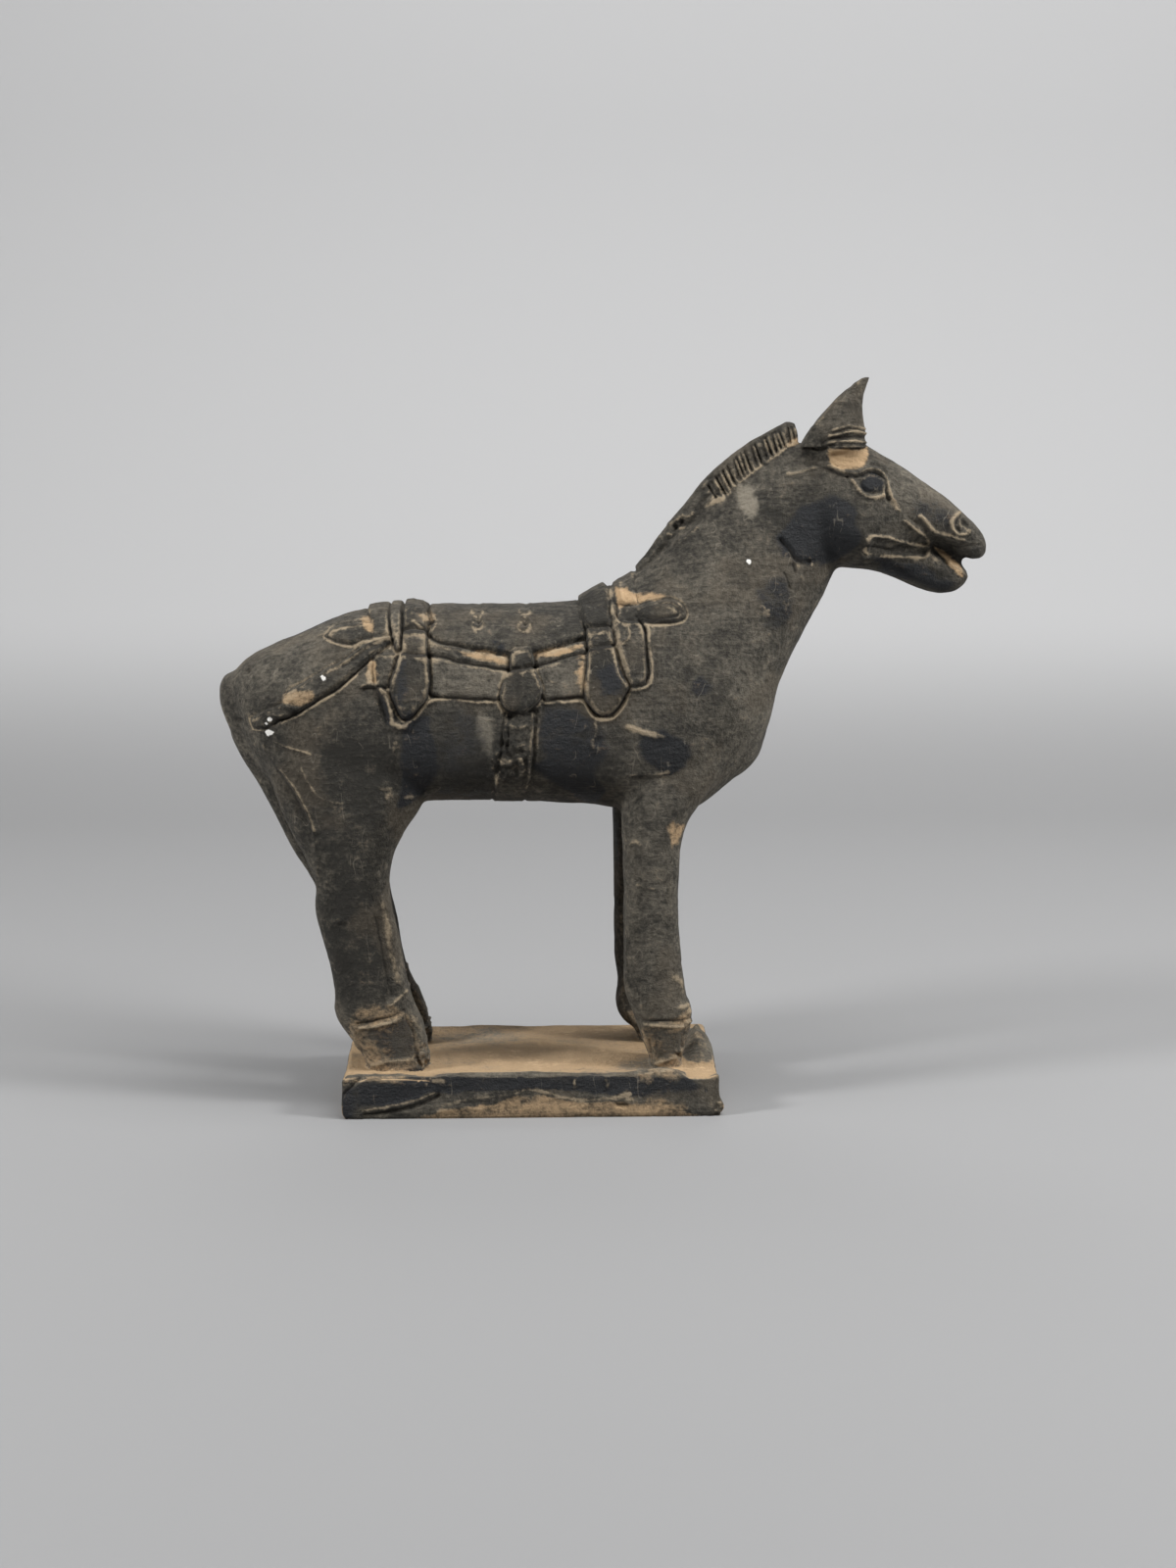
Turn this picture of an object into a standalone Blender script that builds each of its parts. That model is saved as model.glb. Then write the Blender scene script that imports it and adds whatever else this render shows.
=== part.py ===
"""A saddled clay horse standing on its own slab base, made and fired as one piece.

The horse faces +X, the base's underside lies at z = 0 and its centre is the origin.
"""
import math

import bmesh
import bpy
import numpy as np

# Driving sizes, in metres
HORSE_HEIGHT = 0.237
BASE_LENGTH = 0.130
BASE_WIDTH = 0.073
BASE_THICKNESS = 0.014
BASE_EDGE_RADIUS = 0.0016
RELIEF_DEPTH = 0.00125

# The figure's stations are read in parts of its height over the base
HEIGHT_PARTS = 237.0
UNIT = HORSE_HEIGHT / HEIGHT_PARTS
GROUND = 13.5

# Mesh fineness, in metres, and the share of faces that the last step leaves
BLEND_GRID = 0.0016
FINE_GRID = 0.0011
BLEND_PASSES = 7
FINE_PASSES = 2
TARGET_TRIANGLES = 9400
LOFT_SIDES = 40
LOFT_STEPS = 36

# Colour and finish of the fired clay
CLAY_COLOUR = (0.052, 0.047, 0.038, 1.0)
CLAY_ROUGHNESS = 0.82
CLAY_METALLIC = 0.0

# Each station is one section of the body: the two ends of the section in the side
# view (x, z, x, z), its half width, its middle's y, its squareness and its lean,
# which is the share by which the first end is wider than the second
TRUNK = [
    (-103.5, 147.0, -100.5, 132.0, 8.0, 0.0, 2.2, 0.0),
    (-99.5, 153.2, -95.0, 120.0, 18.0, 0.0, 2.3, 0.0),
    (-91.0, 158.4, -87.0, 109.0, 25.0, 0.0, 2.4, 0.0),
    (-80.0, 162.9, -77.0, 104.0, 29.5, 0.0, 2.4, -0.05),
    (-66.0, 169.0, -65.0, 103.0, 32.5, 0.0, 2.4, -0.08),
    (-52.0, 172.3, -52.0, 104.5, 33.5, 0.0, 2.4, -0.10),
    (-36.0, 172.2, -36.0, 105.2, 33.5, 0.0, 2.4, -0.10),
    (-18.0, 171.8, -18.0, 105.2, 33.5, 0.0, 2.4, -0.10),
    (2.0, 171.9, 2.0, 104.8, 33.5, 0.0, 2.4, -0.10),
    (20.0, 173.0, 21.0, 103.6, 33.5, 0.0, 2.4, -0.10),
    (35.0, 176.0, 38.0, 101.0, 33.0, 0.0, 2.3, -0.10),
    (49.0, 176.0, 56.0, 101.0, 31.0, 0.0, 2.3, -0.08),
    (60.0, 170.0, 67.8, 109.3, 27.0, 0.0, 2.2, 0.0),
    (70.0, 162.0, 78.0, 117.3, 20.0, 0.0, 2.2, 0.0),
    (76.0, 152.0, 82.8, 127.3, 10.0, 0.0, 2.2, 0.0),
]
NECK = [
    (12.0, 170.0, 66.0, 108.0, 30.0, 0.0, 2.3, -0.15),
    (24.0, 177.2, 81.6, 127.0, 28.5, 0.0, 2.3, -0.20),
    (36.5, 184.2, 86.9, 145.5, 25.0, 0.0, 2.3, -0.25),
    (49.5, 197.0, 94.0, 161.4, 21.0, 0.0, 2.3, -0.25),
    (62.0, 209.0, 101.2, 174.4, 17.5, 0.0, 2.3, -0.20),
    (72.5, 219.0, 105.6, 184.4, 15.5, 0.0, 2.3, -0.15),
    (82.0, 225.5, 110.0, 196.0, 14.0, 0.0, 2.3, -0.10),
    (91.0, 229.5, 114.0, 208.0, 12.5, 0.0, 2.3, 0.0),
]
SKULL = [
    (90.0, 226.0, 92.0, 196.0, 9.5, 0.0, 2.3, 0.0),
    (98.5, 229.5, 98.5, 189.5, 14.5, 0.0, 2.4, -0.05),
    (107.5, 229.6, 106.5, 186.2, 17.0, 0.0, 2.4, -0.10),
    (115.5, 227.6, 114.0, 186.6, 17.4, 0.0, 2.4, -0.15),
    (122.5, 223.8, 121.0, 188.3, 16.0, 0.0, 2.3, -0.10),
    (130.3, 219.1, 127.8, 190.8, 13.6, 0.0, 2.3, 0.0),
    (138.5, 213.6, 134.0, 193.4, 11.6, 0.0, 2.3, 0.0),
    (145.5, 208.6, 140.0, 194.2, 10.5, 0.0, 2.4, 0.05),
    (151.4, 203.3, 145.5, 191.8, 10.4, 0.0, 2.4, 0.10),
    (155.3, 199.6, 149.5, 189.2, 9.4, 0.0, 2.4, 0.0),
    (158.2, 195.2, 153.8, 188.0, 7.4, 0.0, 2.4, 0.0),
    (159.2, 192.2, 157.2, 188.4, 4.0, 0.0, 2.2, 0.0),
]
JAW = [
    (110.0, 202.0, 106.0, 186.0, 12.0, 0.0, 2.3, 0.0),
    (118.5, 198.0, 117.0, 184.8, 11.0, 0.0, 2.3, 0.0),
    (127.0, 195.0, 125.2, 182.5, 9.6, 0.0, 2.3, 0.0),
    (134.0, 192.6, 134.5, 178.4, 8.8, 0.0, 2.4, 0.0),
    (140.8, 189.4, 142.0, 176.5, 8.2, 0.0, 2.4, 0.0),
    (146.3, 187.2, 148.4, 177.4, 7.4, 0.0, 2.4, 0.0),
    (150.6, 185.8, 152.0, 180.6, 5.4, 0.0, 2.4, 0.0),
    (152.2, 184.4, 152.4, 182.6, 3.0, 0.0, 2.2, 0.0),
]
MOUTH_FILL = [
    (130.0, 198.0, 131.0, 186.0, 6.4, 0.0, 2.3, 0.0),
    (138.0, 196.0, 139.0, 184.0, 6.0, 0.0, 2.3, 0.0),
    (144.0, 193.0, 145.0, 182.5, 5.4, 0.0, 2.3, 0.0),
    (148.0, 191.0, 149.0, 182.5, 4.6, 0.0, 2.3, 0.0),
    (149.6, 190.0, 150.4, 183.5, 3.4, 0.0, 2.3, 0.0),
]
TAIL = [
    (-105.6, 149.0, -88.0, 151.4, 8.0, 0.0, 2.4, 0.0),
    (-107.6, 143.0, -87.0, 143.0, 10.0, 0.0, 2.4, 0.0),
    (-105.9, 133.5, -86.0, 134.0, 10.5, 0.0, 2.4, 0.0),
    (-101.5, 122.6, -84.0, 123.0, 10.0, 0.0, 2.4, 0.0),
    (-96.4, 113.4, -81.0, 113.0, 9.0, 0.0, 2.4, 0.0),
    (-90.2, 102.0, -78.0, 101.0, 8.0, 0.0, 2.4, 0.0),
    (-83.4, 87.7, -73.0, 88.0, 6.8, 0.0, 2.4, 0.0),
    (-76.2, 74.8, -66.0, 77.0, 5.6, 0.0, 2.4, 0.0),
    (-73.5, 68.0, -66.0, 70.0, 4.4, 0.0, 2.4, 0.0),
]
HIND_LEG = [
    (-35.0, 138.0, -94.0, 142.0, 14.0, 13.0, 2.3, 0.0),
    (-34.5, 122.0, -91.0, 124.0, 15.5, 16.5, 2.3, 0.0),
    (-36.6, 107.0, -87.0, 109.0, 14.8, 18.0, 2.4, 0.0),
    (-42.4, 98.0, -82.4, 98.5, 13.3, 19.0, 2.4, 0.0),
    (-47.0, 88.0, -77.4, 88.0, 12.0, 19.3, 2.5, 0.0),
    (-48.5, 78.5, -73.9, 78.5, 11.2, 19.3, 2.5, 0.0),
    (-47.5, 69.0, -74.4, 70.5, 10.6, 19.0, 2.5, 0.0),
    (-45.2, 58.0, -71.6, 58.0, 10.1, 18.7, 2.5, 0.0),
    (-43.6, 48.0, -68.8, 46.0, 9.9, 18.3, 2.5, 0.0),
    (-42.0, 40.5, -67.9, 38.0, 10.1, 18.0, 2.5, 0.0),
    (-40.6, 36.0, -68.4, 34.0, 10.1, 17.8, 2.6, 0.0),
    (-38.6, 31.0, -66.6, 29.5, 9.8, 17.6, 2.7, 0.0),
    (-36.8, 25.0, -63.2, 24.0, 9.3, 17.4, 2.8, 0.0),
    (-35.3, 18.0, -59.0, 18.0, 8.9, 17.2, 2.8, 0.0),
    (-34.8, 12.0, -57.0, 12.0, 8.8, 17.2, 2.8, 0.0),
]
FORE_LEG = [
    (74.0, 132.0, 30.0, 132.0, 13.0, 13.0, 2.3, 0.0),
    (66.0, 116.0, 30.8, 116.0, 14.0, 16.0, 2.3, 0.0),
    (58.4, 106.0, 31.4, 106.0, 13.8, 17.5, 2.4, 0.0),
    (53.6, 98.5, 31.5, 98.5, 12.6, 18.7, 2.4, 0.0),
    (51.8, 90.0, 31.8, 90.0, 11.6, 19.2, 2.5, 0.0),
    (51.3, 79.0, 32.0, 79.0, 10.7, 19.2, 2.6, 0.0),
    (51.1, 65.0, 32.2, 65.0, 10.0, 18.9, 2.6, 0.0),
    (52.0, 53.0, 32.4, 53.0, 9.7, 18.5, 2.6, 0.0),
    (53.3, 44.0, 32.3, 44.0, 10.0, 18.2, 2.6, 0.0),
    (53.9, 38.5, 33.4, 37.5, 10.3, 18.0, 2.6, 0.0),
    (55.5, 33.5, 35.2, 32.5, 10.4, 17.8, 2.7, 0.0),
    (55.3, 27.5, 37.4, 26.5, 9.8, 17.6, 2.8, 0.0),
    (54.4, 21.5, 39.4, 21.0, 9.0, 17.4, 2.8, 0.0),
    (52.8, 16.5, 41.2, 16.5, 8.5, 17.2, 2.8, 0.0),
    (52.4, 12.0, 41.8, 12.0, 8.4, 17.2, 2.8, 0.0),
]
EAR = [
    (92.5, 227.0, 115.0, 227.0, 6.5, 8.6, 2.2, 0.0),
    (96.4, 234.0, 114.0, 234.0, 5.8, 9.6, 2.1, 0.0),
    (100.4, 239.0, 113.4, 239.0, 4.8, 10.4, 2.1, 0.0),
    (104.4, 243.6, 113.5, 243.6, 3.7, 11.0, 2.1, 0.0),
    (108.9, 247.4, 114.4, 247.4, 2.5, 11.4, 2.0, 0.0),
    (112.3, 249.7, 115.2, 249.7, 1.4, 11.6, 2.0, 0.0),
    (113.8, 250.6, 115.3, 250.6, 0.7, 11.6, 2.0, 0.0),
]
EAR_ROOT = [
    (97.0, 225.0, 115.3, 226.0, 16.4, 0.0, 2.3, 0.0),
    (98.0, 229.5, 115.0, 229.5, 16.0, 0.0, 2.3, 0.0),
    (99.5, 233.0, 114.2, 233.5, 14.8, 0.0, 2.3, 0.0),
    (101.5, 236.0, 112.9, 236.6, 12.5, 0.0, 2.3, 0.0),
    (105.0, 238.0, 111.0, 238.0, 8.0, 0.0, 2.2, 0.0),
]

# The mane stands as a plate on the crest of the neck: its foot and its crest
MANE_FOOT = [(37.0, 184.0), (50.5, 196.0), (62.0, 207.0), (70.0, 216.0), (79.0, 222.5), (91.5, 228.5)]
MANE_CREST = [(36.8, 186.0), (49.0, 202.0), (60.3, 215.6), (69.1, 223.8), (79.6, 230.6), (88.9, 235.4)]
MANE_FRONT = (92.4, 229.4)
MANE_SECTION = (4.6, 0.0, 2.6, -0.30)
MANE_SUNK = 5.0
MANE_SHORTEST = 0.5
MANE_STEP_DROP = 0.6

# How the far side differs from the near one, in parts: each leg's offset along X
# under the belly and at the hoof, and how far its heel reaches back
FAR_FORE = (-1.8, -0.6, 6.0)
FAR_HIND = (-2.8, -0.2, 0.0)
HEEL_HEIGHT = 11.0
HEEL_SPREAD = 8.5
HOOF_TO_SHANK = 30.0
FAR_EAR_DROP = 3.4

# The trappings in the side view, laid over one another in this order: how high each
# stands as a share of the relief's depth, whether its outline is rounded, its outline
PANELS = [
    (0.40, False, [(-34.6, 166.0), (-34.0, 145.2), (-10.5, 143.8), (5.0, 143.3), (19.0, 144.7), (20.0, 166.0)]),
    (0.45, False, [(-8.4, 146.0), (-9.6, 112.0), (-9.4, 100.0), (-1.2, 100.0), (-1.0, 113.0), (1.8, 146.0)]),
    (0.70, False, [(-34.6, 164.6), (-20.0, 160.4), (-6.4, 157.8), (0.8, 158.0), (18.6, 163.8), (19.2, 159.5),
                   (10.7, 157.2), (1.9, 154.6), (-6.4, 153.7), (-13.0, 155.0), (-27.0, 156.9), (-34.4, 158.3)]),
    (0.90, False, [(-37.0, 182.0), (-34.6, 165.6), (-29.1, 162.1), (-19.7, 161.1), (-6.5, 158.9), (0.7, 159.5),
                   (14.0, 163.0), (18.8, 165.0), (20.0, 184.0)]),
    (0.90, False, [(-56.8, 180.0), (-56.2, 172.0), (-53.4, 170.2), (-53.0, 164.6), (-47.5, 164.6), (-48.8, 180.0)]),
    (0.60, False, [(-52.0, 158.4), (-43.8, 159.4), (-44.4, 153.3), (-47.0, 148.4), (-52.2, 149.4)]),
    (0.75, True, [(-69.3, 164.0), (-66.3, 166.9), (-60.0, 168.2), (-53.4, 167.0), (-55.6, 163.6), (-61.0, 161.8)]),
    (0.95, False, [(-46.6, 164.6), (-53.1, 163.1), (-59.7, 160.0), (-66.0, 154.6), (-72.0, 151.2), (-80.9, 147.3),
                   (-83.2, 143.6), (-88.0, 140.0), (-93.1, 137.6), (-91.6, 134.8), (-85.7, 134.9), (-79.4, 140.1),
                   (-68.6, 146.8), (-63.5, 149.8), (-59.8, 152.8), (-53.6, 158.0), (-46.6, 161.4)]),
    (1.15, False, [(-48.9, 180.0), (-47.9, 169.9), (-46.6, 163.9), (-45.0, 160.6), (-43.6, 160.6), (-43.9, 167.0),
                   (-44.4, 180.0)]),
    (1.80, False, [(-43.6, 184.0), (-43.8, 171.7), (-42.8, 164.4), (-35.0, 164.2), (-35.0, 168.5), (-35.6, 184.0)]),
    (1.30, True, [(-43.3, 160.4), (-44.4, 153.3), (-46.7, 149.0), (-47.2, 144.7), (-44.7, 141.0), (-41.4, 136.2),
                  (-38.6, 139.0), (-34.9, 142.7), (-33.2, 145.6), (-33.6, 151.0), (-34.4, 160.4)]),
    (1.60, False, [(-43.4, 164.4), (-42.8, 159.4), (-34.8, 159.4), (-35.0, 164.2)]),
    (0.60, False, [(31.6, 168.6), (38.4, 168.6), (39.5, 159.1), (40.0, 149.3), (34.0, 147.8)]),
    (0.60, False, [(27.0, 190.0), (27.4, 174.0), (38.0, 174.0), (37.0, 190.0)]),
    (0.90, True, [(29.6, 173.2), (37.4, 173.3), (44.0, 175.0), (50.0, 173.9), (52.4, 171.3), (50.0, 169.1),
                  (43.8, 168.6), (37.5, 169.4), (29.6, 168.3)]),
    (1.80, False, [(18.6, 192.0), (17.9, 174.4), (17.3, 171.7), (18.6, 166.2), (28.4, 166.6), (27.1, 169.0),
                   (26.6, 174.4), (27.4, 192.0)]),
    (1.30, True, [(20.2, 161.6), (19.6, 153.0), (18.9, 145.5), (20.8, 142.2), (24.0, 138.6), (26.4, 137.4),
                  (29.0, 138.6), (31.0, 141.8), (33.4, 147.7), (31.6, 154.0), (29.3, 161.6)]),
    (1.60, False, [(19.0, 166.2), (20.2, 160.4), (29.2, 160.9), (28.4, 166.6)]),
    (1.35, True, [(-6.2, 155.0), (-8.9, 148.6), (-9.9, 143.0), (-7.4, 139.2), (-1.5, 136.4), (3.2, 140.4),
                  (4.6, 144.6), (3.6, 149.4), (1.8, 155.0)]),
    (1.50, False, [(-5.9, 160.2), (0.5, 160.6), (1.6, 155.0), (-6.4, 154.0)]),
]
# Raised lines: height as a share of the relief's depth, half width, path
RIDGES = [
    (0.55, 0.8, [(-52.0, 148.4), (-49.2, 145.4), (-47.4, 141.0), (-44.6, 135.4), (-42.6, 133.2), (-40.0, 135.6),
                 (-36.3, 141.0), (-33.4, 143.6)]),
    (0.50, 0.8, [(16.7, 144.2), (19.2, 142.8), (22.4, 139.2), (25.6, 135.9), (29.2, 136.6), (31.6, 140.0),
                 (34.6, 146.6), (41.0, 147.4)]),
    (0.90, 1.1, [(28.9, 186.0), (28.4, 176.0), (29.4, 168.4), (31.2, 162.0), (33.4, 154.0), (35.2, 148.0)]),
    (0.60, 0.8, [(36.0, 176.4), (42.6, 177.2), (48.4, 176.4), (53.6, 173.6), (54.6, 171.2), (53.0, 168.4),
                 (49.0, 166.8), (42.0, 167.0), (40.2, 166.0), (40.9, 159.1), (41.6, 148.4)]),
    (0.45, 0.8, [(-32.0, 142.8), (-12.0, 141.8)]),
    (0.45, 0.8, [(6.0, 141.6), (16.7, 143.2)]),
    (0.50, 1.4, [(98.0, 228.6), (104.2, 228.2), (109.1, 228.4), (115.6, 228.7)]),
    (0.60, 0.9, [(100.0, 230.4), (105.6, 232.9), (109.5, 233.6), (115.6, 233.8)]),
    (0.50, 0.8, [(102.6, 233.6), (107.0, 235.6), (114.0, 236.0)]),
    (0.50, 0.8, [(88.0, 219.4), (92.6, 220.8), (98.5, 221.4), (103.9, 220.6), (107.3, 219.2), (110.2, 218.8),
                 (113.6, 219.9), (116.9, 220.7), (119.6, 219.9), (121.6, 216.0), (122.6, 212.0), (123.4, 208.6)]),
    (0.60, 0.7, [(108.6, 217.4), (110.8, 214.0), (113.7, 211.2), (117.0, 210.0), (120.4, 211.0), (120.9, 214.6),
                 (119.2, 217.4), (116.6, 218.8), (113.4, 218.4), (111.4, 216.6)]),
    (0.55, 0.8, [(131.6, 205.6), (135.9, 200.8), (138.4, 199.2), (142.9, 197.9), (148.2, 196.8), (153.6, 194.8)]),
    (0.50, 0.8, [(115.4, 199.4), (121.8, 198.1), (129.2, 195.6), (135.0, 194.2)]),
    (0.50, 0.8, [(115.4, 199.4), (113.0, 196.0), (114.4, 192.4), (125.9, 190.9), (133.7, 190.4)]),
    (0.50, 0.8, [(137.0, 190.0), (139.2, 190.6), (141.6, 188.2), (139.6, 185.4), (137.0, 186.8), (137.0, 190.0)]),
    (0.55, 0.8, [(143.2, 200.4), (143.1, 204.0), (145.3, 205.6), (148.4, 204.6), (150.0, 201.6), (147.9, 199.0)]),
]
# Cut lines: depth as a share of the relief's depth, half width, path
GROOVES = [
    (0.55, 0.9, [(-68.0, 116.0), (-72.0, 104.0)]),
    (0.55, 1.0, [(-89.5, 126.0), (-86.4, 114.2), (-83.6, 102.0), (-79.6, 91.2), (-76.5, 82.4)]),
    (0.60, 0.9, [(86.6, 196.6), (89.7, 190.8), (92.1, 188.9)]),
    (0.60, 0.8, [(101.0, 231.0), (106.0, 230.4), (115.0, 231.2)]),
    (0.70, 0.9, [(145.4, 202.0), (147.0, 201.4)]),
    (0.35, 0.6, [(6.6, 153.4), (7.2, 150.6), (9.6, 149.4), (12.2, 150.4)]),
]
STUDS = [(-18.4, 171.2), (-18.0, 166.8), (-1.8, 171.0), (-1.6, 166.4)]
STUD_RADIUS = 1.5
STUD_HEIGHT = 0.35
EYE = (116.2, 214.6)
EYE_RADII = (3.6, 2.6)
EYE_HEIGHT = 0.9
CHEEK = (104.0, 202.5)
CHEEK_RADIUS = 12.0
CHEEK_HEIGHT = 0.9

# The mane's strokes: the direction across them, their pitch, width and depth, where
# they start to be clear, and the plain rim left along the crest
STROKE_ACROSS = (0.80, 0.60)
STROKE_PITCH = 1.85
STROKE_HALF_WIDTH = 0.55
STROKE_DEPTH = 0.75
STROKE_START = 62.0
STROKE_FADE = 8.0
STROKE_FAINTEST = 0.25
RIM_WIDTH = 2.6
MANE_STATIONS = 24
# Pastern rings: height over the base, tilt per part of length, x of the middle
FORE_RINGS = [(21.0, 0.07, 46.0), (17.0, 0.04, 46.0)]
HIND_RINGS = [(21.4, 0.25, -53.0), (18.6, 0.25, -52.0)]
FORE_REACH = (30.0, 64.0)
HIND_REACH = (-75.0, -30.0)
RING_HEIGHT = 0.7
RING_HALF_WIDTH = 1.0
# Softness of every edge of the relief, how far past its outline a form still acts,
# and the fine groove that runs round each outline
EDGE_SOFTNESS = 0.5
RELIEF_MARGIN = 3.0
OUTLINE_GROOVE = 0.30
GROOVE_OFFSET = 0.6
GROOVE_HALF_WIDTH = 0.7
# How near the ground a point counts as part of the flat underside, in metres
UNDERSIDE_BAND = 0.0006


def clear_scene():
    """Empties the scene, so that a second run starts like the first."""
    for item in list(bpy.data.objects):
        bpy.data.objects.remove(item, do_unlink=True)
    for group in list(bpy.data.collections):
        bpy.data.collections.remove(group)


def smooth_rows(rows, count):
    """Reads count rows off a smooth curve through the given rows of numbers."""
    table = np.array(rows, dtype=float)
    last = len(table) - 1
    span = np.linalg.norm(np.diff(table[:, :4] if table.shape[1] > 4 else table, axis=0), axis=1)
    knots = np.concatenate([[0.0], np.cumsum(span ** 0.5)])
    slopes = np.gradient(table, knots, axis=0)
    spots = np.linspace(0.0, knots[last], count)
    index = np.clip(np.searchsorted(knots, spots, side="right") - 1, 0, last - 1)
    width = (knots[index + 1] - knots[index])[:, None]
    t = ((spots - knots[index])[:, None]) / width
    start, end = table[index], table[index + 1]
    rise = slopes[index] * width
    fall = slopes[index + 1] * width
    blend = (2 * t ** 3 - 3 * t ** 2 + 1) * start + (t ** 3 - 2 * t ** 2 + t) * rise
    return blend + (-2 * t ** 3 + 3 * t ** 2) * end + (t ** 3 - t ** 2) * fall


def to_world(points):
    """Turns the figure's parts into metres, with its feet on top of the base."""
    world = np.array(points, dtype=float)
    world[:, 2] -= GROUND
    world *= UNIT
    world[:, 2] += BASE_THICKNESS
    return world


def section(row, side):
    """The points of one section: a rounded rectangle between its two side-view ends."""
    ax, az, bx, bz, half_width, middle, squareness, lean = row
    turn = np.linspace(0.0, 2.0 * math.pi, LOFT_SIDES, endpoint=False)
    along = np.sign(np.cos(turn)) * np.abs(np.cos(turn)) ** (2.0 / squareness)
    across = np.sign(np.sin(turn)) * np.abs(np.sin(turn)) ** (2.0 / squareness)
    x = (ax + bx) / 2 + along * (ax - bx) / 2
    z = (az + bz) / 2 + along * (az - bz) / 2
    y = side * middle + across * half_width * (1.0 + lean * along)
    return np.stack([x, y, z], axis=1)


def loft(mesh, rows, side=1.0):
    """Adds a closed loft through the stations to a bmesh."""
    rings = []
    for row in smooth_rows(rows, LOFT_STEPS):
        rings.append([mesh.verts.new(point) for point in to_world(section(row, side))])
    for first, second in zip(rings, rings[1:]):
        for i in range(LOFT_SIDES):
            j = (i + 1) % LOFT_SIDES
            mesh.faces.new((first[i], first[j], second[j], second[i]))
    mesh.faces.new(rings[0][::-1])
    mesh.faces.new(rings[-1])


def far_leg(rows, upper_shift, hoof_shift, heel):
    """The stations of a far leg, worked out from those of the near one."""
    shifted = []
    for ax, az, bx, bz, *rest in rows:
        height = (az + bz) / 2 - GROUND
        share = min(max(height / HOOF_TO_SHANK, 0.0), 1.0)
        shift = hoof_shift + (upper_shift - hoof_shift) * share
        back = heel * math.exp(-((height - HEEL_HEIGHT) / HEEL_SPREAD) ** 2)
        shifted.append((ax + shift, az, bx + shift - back, bz, *rest))
    return shifted


def mane_rows():
    """Stations of the mane plate, from the withers to the step behind the ears."""
    foot = smooth_rows(MANE_FOOT, MANE_STATIONS)
    crest = smooth_rows(MANE_CREST, MANE_STATIONS)
    rows = []
    for low, high in zip(foot, crest):
        down = (low - high) / max(np.linalg.norm(low - high), MANE_SHORTEST)
        sunk = low + down * MANE_SUNK
        rows.append((*high, *sunk, *MANE_SECTION))
    step = (foot[-1][0], crest[-1][1] - MANE_STEP_DROP)
    rows.append((*step, MANE_FRONT[0], MANE_FRONT[1] - MANE_SUNK, *MANE_SECTION))
    return rows


def rounded(outline, count=36):
    """A closed curve through the points of a rounded outline."""
    return smooth_rows(outline + outline[:1], count)[:-1]


def segment_distance(x, z, start, end):
    """Distance in the side view from each point to one straight piece of line."""
    along = np.array(end) - np.array(start)
    length = max(float(along @ along), 1e-9)
    share = np.clip(((x - start[0]) * along[0] + (z - start[1]) * along[1]) / length, 0.0, 1.0)
    return np.hypot(x - start[0] - share * along[0], z - start[1] - share * along[1])


def path_distance(x, z, path):
    """Distance in the side view from each point to an open line."""
    distance = np.full(x.shape, 1e3)
    for start, end in zip(path, path[1:]):
        distance = np.minimum(distance, segment_distance(x, z, start, end))
    return distance


def outline_distance(x, z, outline):
    """Distance in the side view to a closed outline, negative inside it."""
    distance = np.full(x.shape, 1e3)
    inside = np.zeros(x.shape, dtype=bool)
    for start, end in zip(outline, np.roll(outline, -1, axis=0)):
        distance = np.minimum(distance, segment_distance(x, z, start, end))
        crosses = (start[1] > z) != (end[1] > z)
        rise = end[1] - start[1] if abs(end[1] - start[1]) > 1e-9 else 1e-9
        inside ^= crosses & (x < start[0] + (z - start[1]) * (end[0] - start[0]) / rise)
    return np.where(inside, -distance, distance)


def near(x, z, points, margin):
    """Picks the points that lie within a margin of an outline's box."""
    low = np.min(points, axis=0) - margin
    high = np.max(points, axis=0) + margin
    return (x > low[0]) & (x < high[0]) & (z > low[1]) & (z < high[1])


def bell(distance, width):
    return np.exp(-(distance / width) ** 2)


def trappings_relief(x, z):
    """Height of the saddle, its straps, the bridle, the eye and the folds."""
    height = np.zeros(x.shape)
    for level, is_round, outline in PANELS:
        points = rounded(outline) if is_round else np.array(outline)
        pick = near(x, z, points, RELIEF_MARGIN)
        distance = outline_distance(x[pick], z[pick], points)
        cover = 0.5 - 0.5 * np.clip(distance / EDGE_SOFTNESS, -1.0, 1.0)
        groove = OUTLINE_GROOVE * bell(distance - GROOVE_OFFSET, GROOVE_HALF_WIDTH)
        height[pick] = height[pick] * (1.0 - cover) + level * cover - groove
    for rise, width, path in RIDGES:
        pick = near(x, z, path, RELIEF_MARGIN * width)
        height[pick] += rise * bell(path_distance(x[pick], z[pick], path), width)
    for depth, width, path in GROOVES:
        pick = near(x, z, path, RELIEF_MARGIN * width)
        height[pick] -= depth * bell(path_distance(x[pick], z[pick], path), width)
    for stud in STUDS:
        distance = np.hypot(x - stud[0], z - stud[1])
        height += STUD_HEIGHT * (bell(distance, STUD_RADIUS / 2) - bell(distance - STUD_RADIUS, STUD_RADIUS / 3))
    reach = np.hypot((x - EYE[0]) / EYE_RADII[0], (z - EYE[1]) / EYE_RADII[1])
    height += EYE_HEIGHT * np.sqrt(np.clip(1.0 - reach ** 2, 0.0, 1.0))
    height += CHEEK_HEIGHT * bell(np.hypot(x - CHEEK[0], z - CHEEK[1]), CHEEK_RADIUS)
    return height


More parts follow.
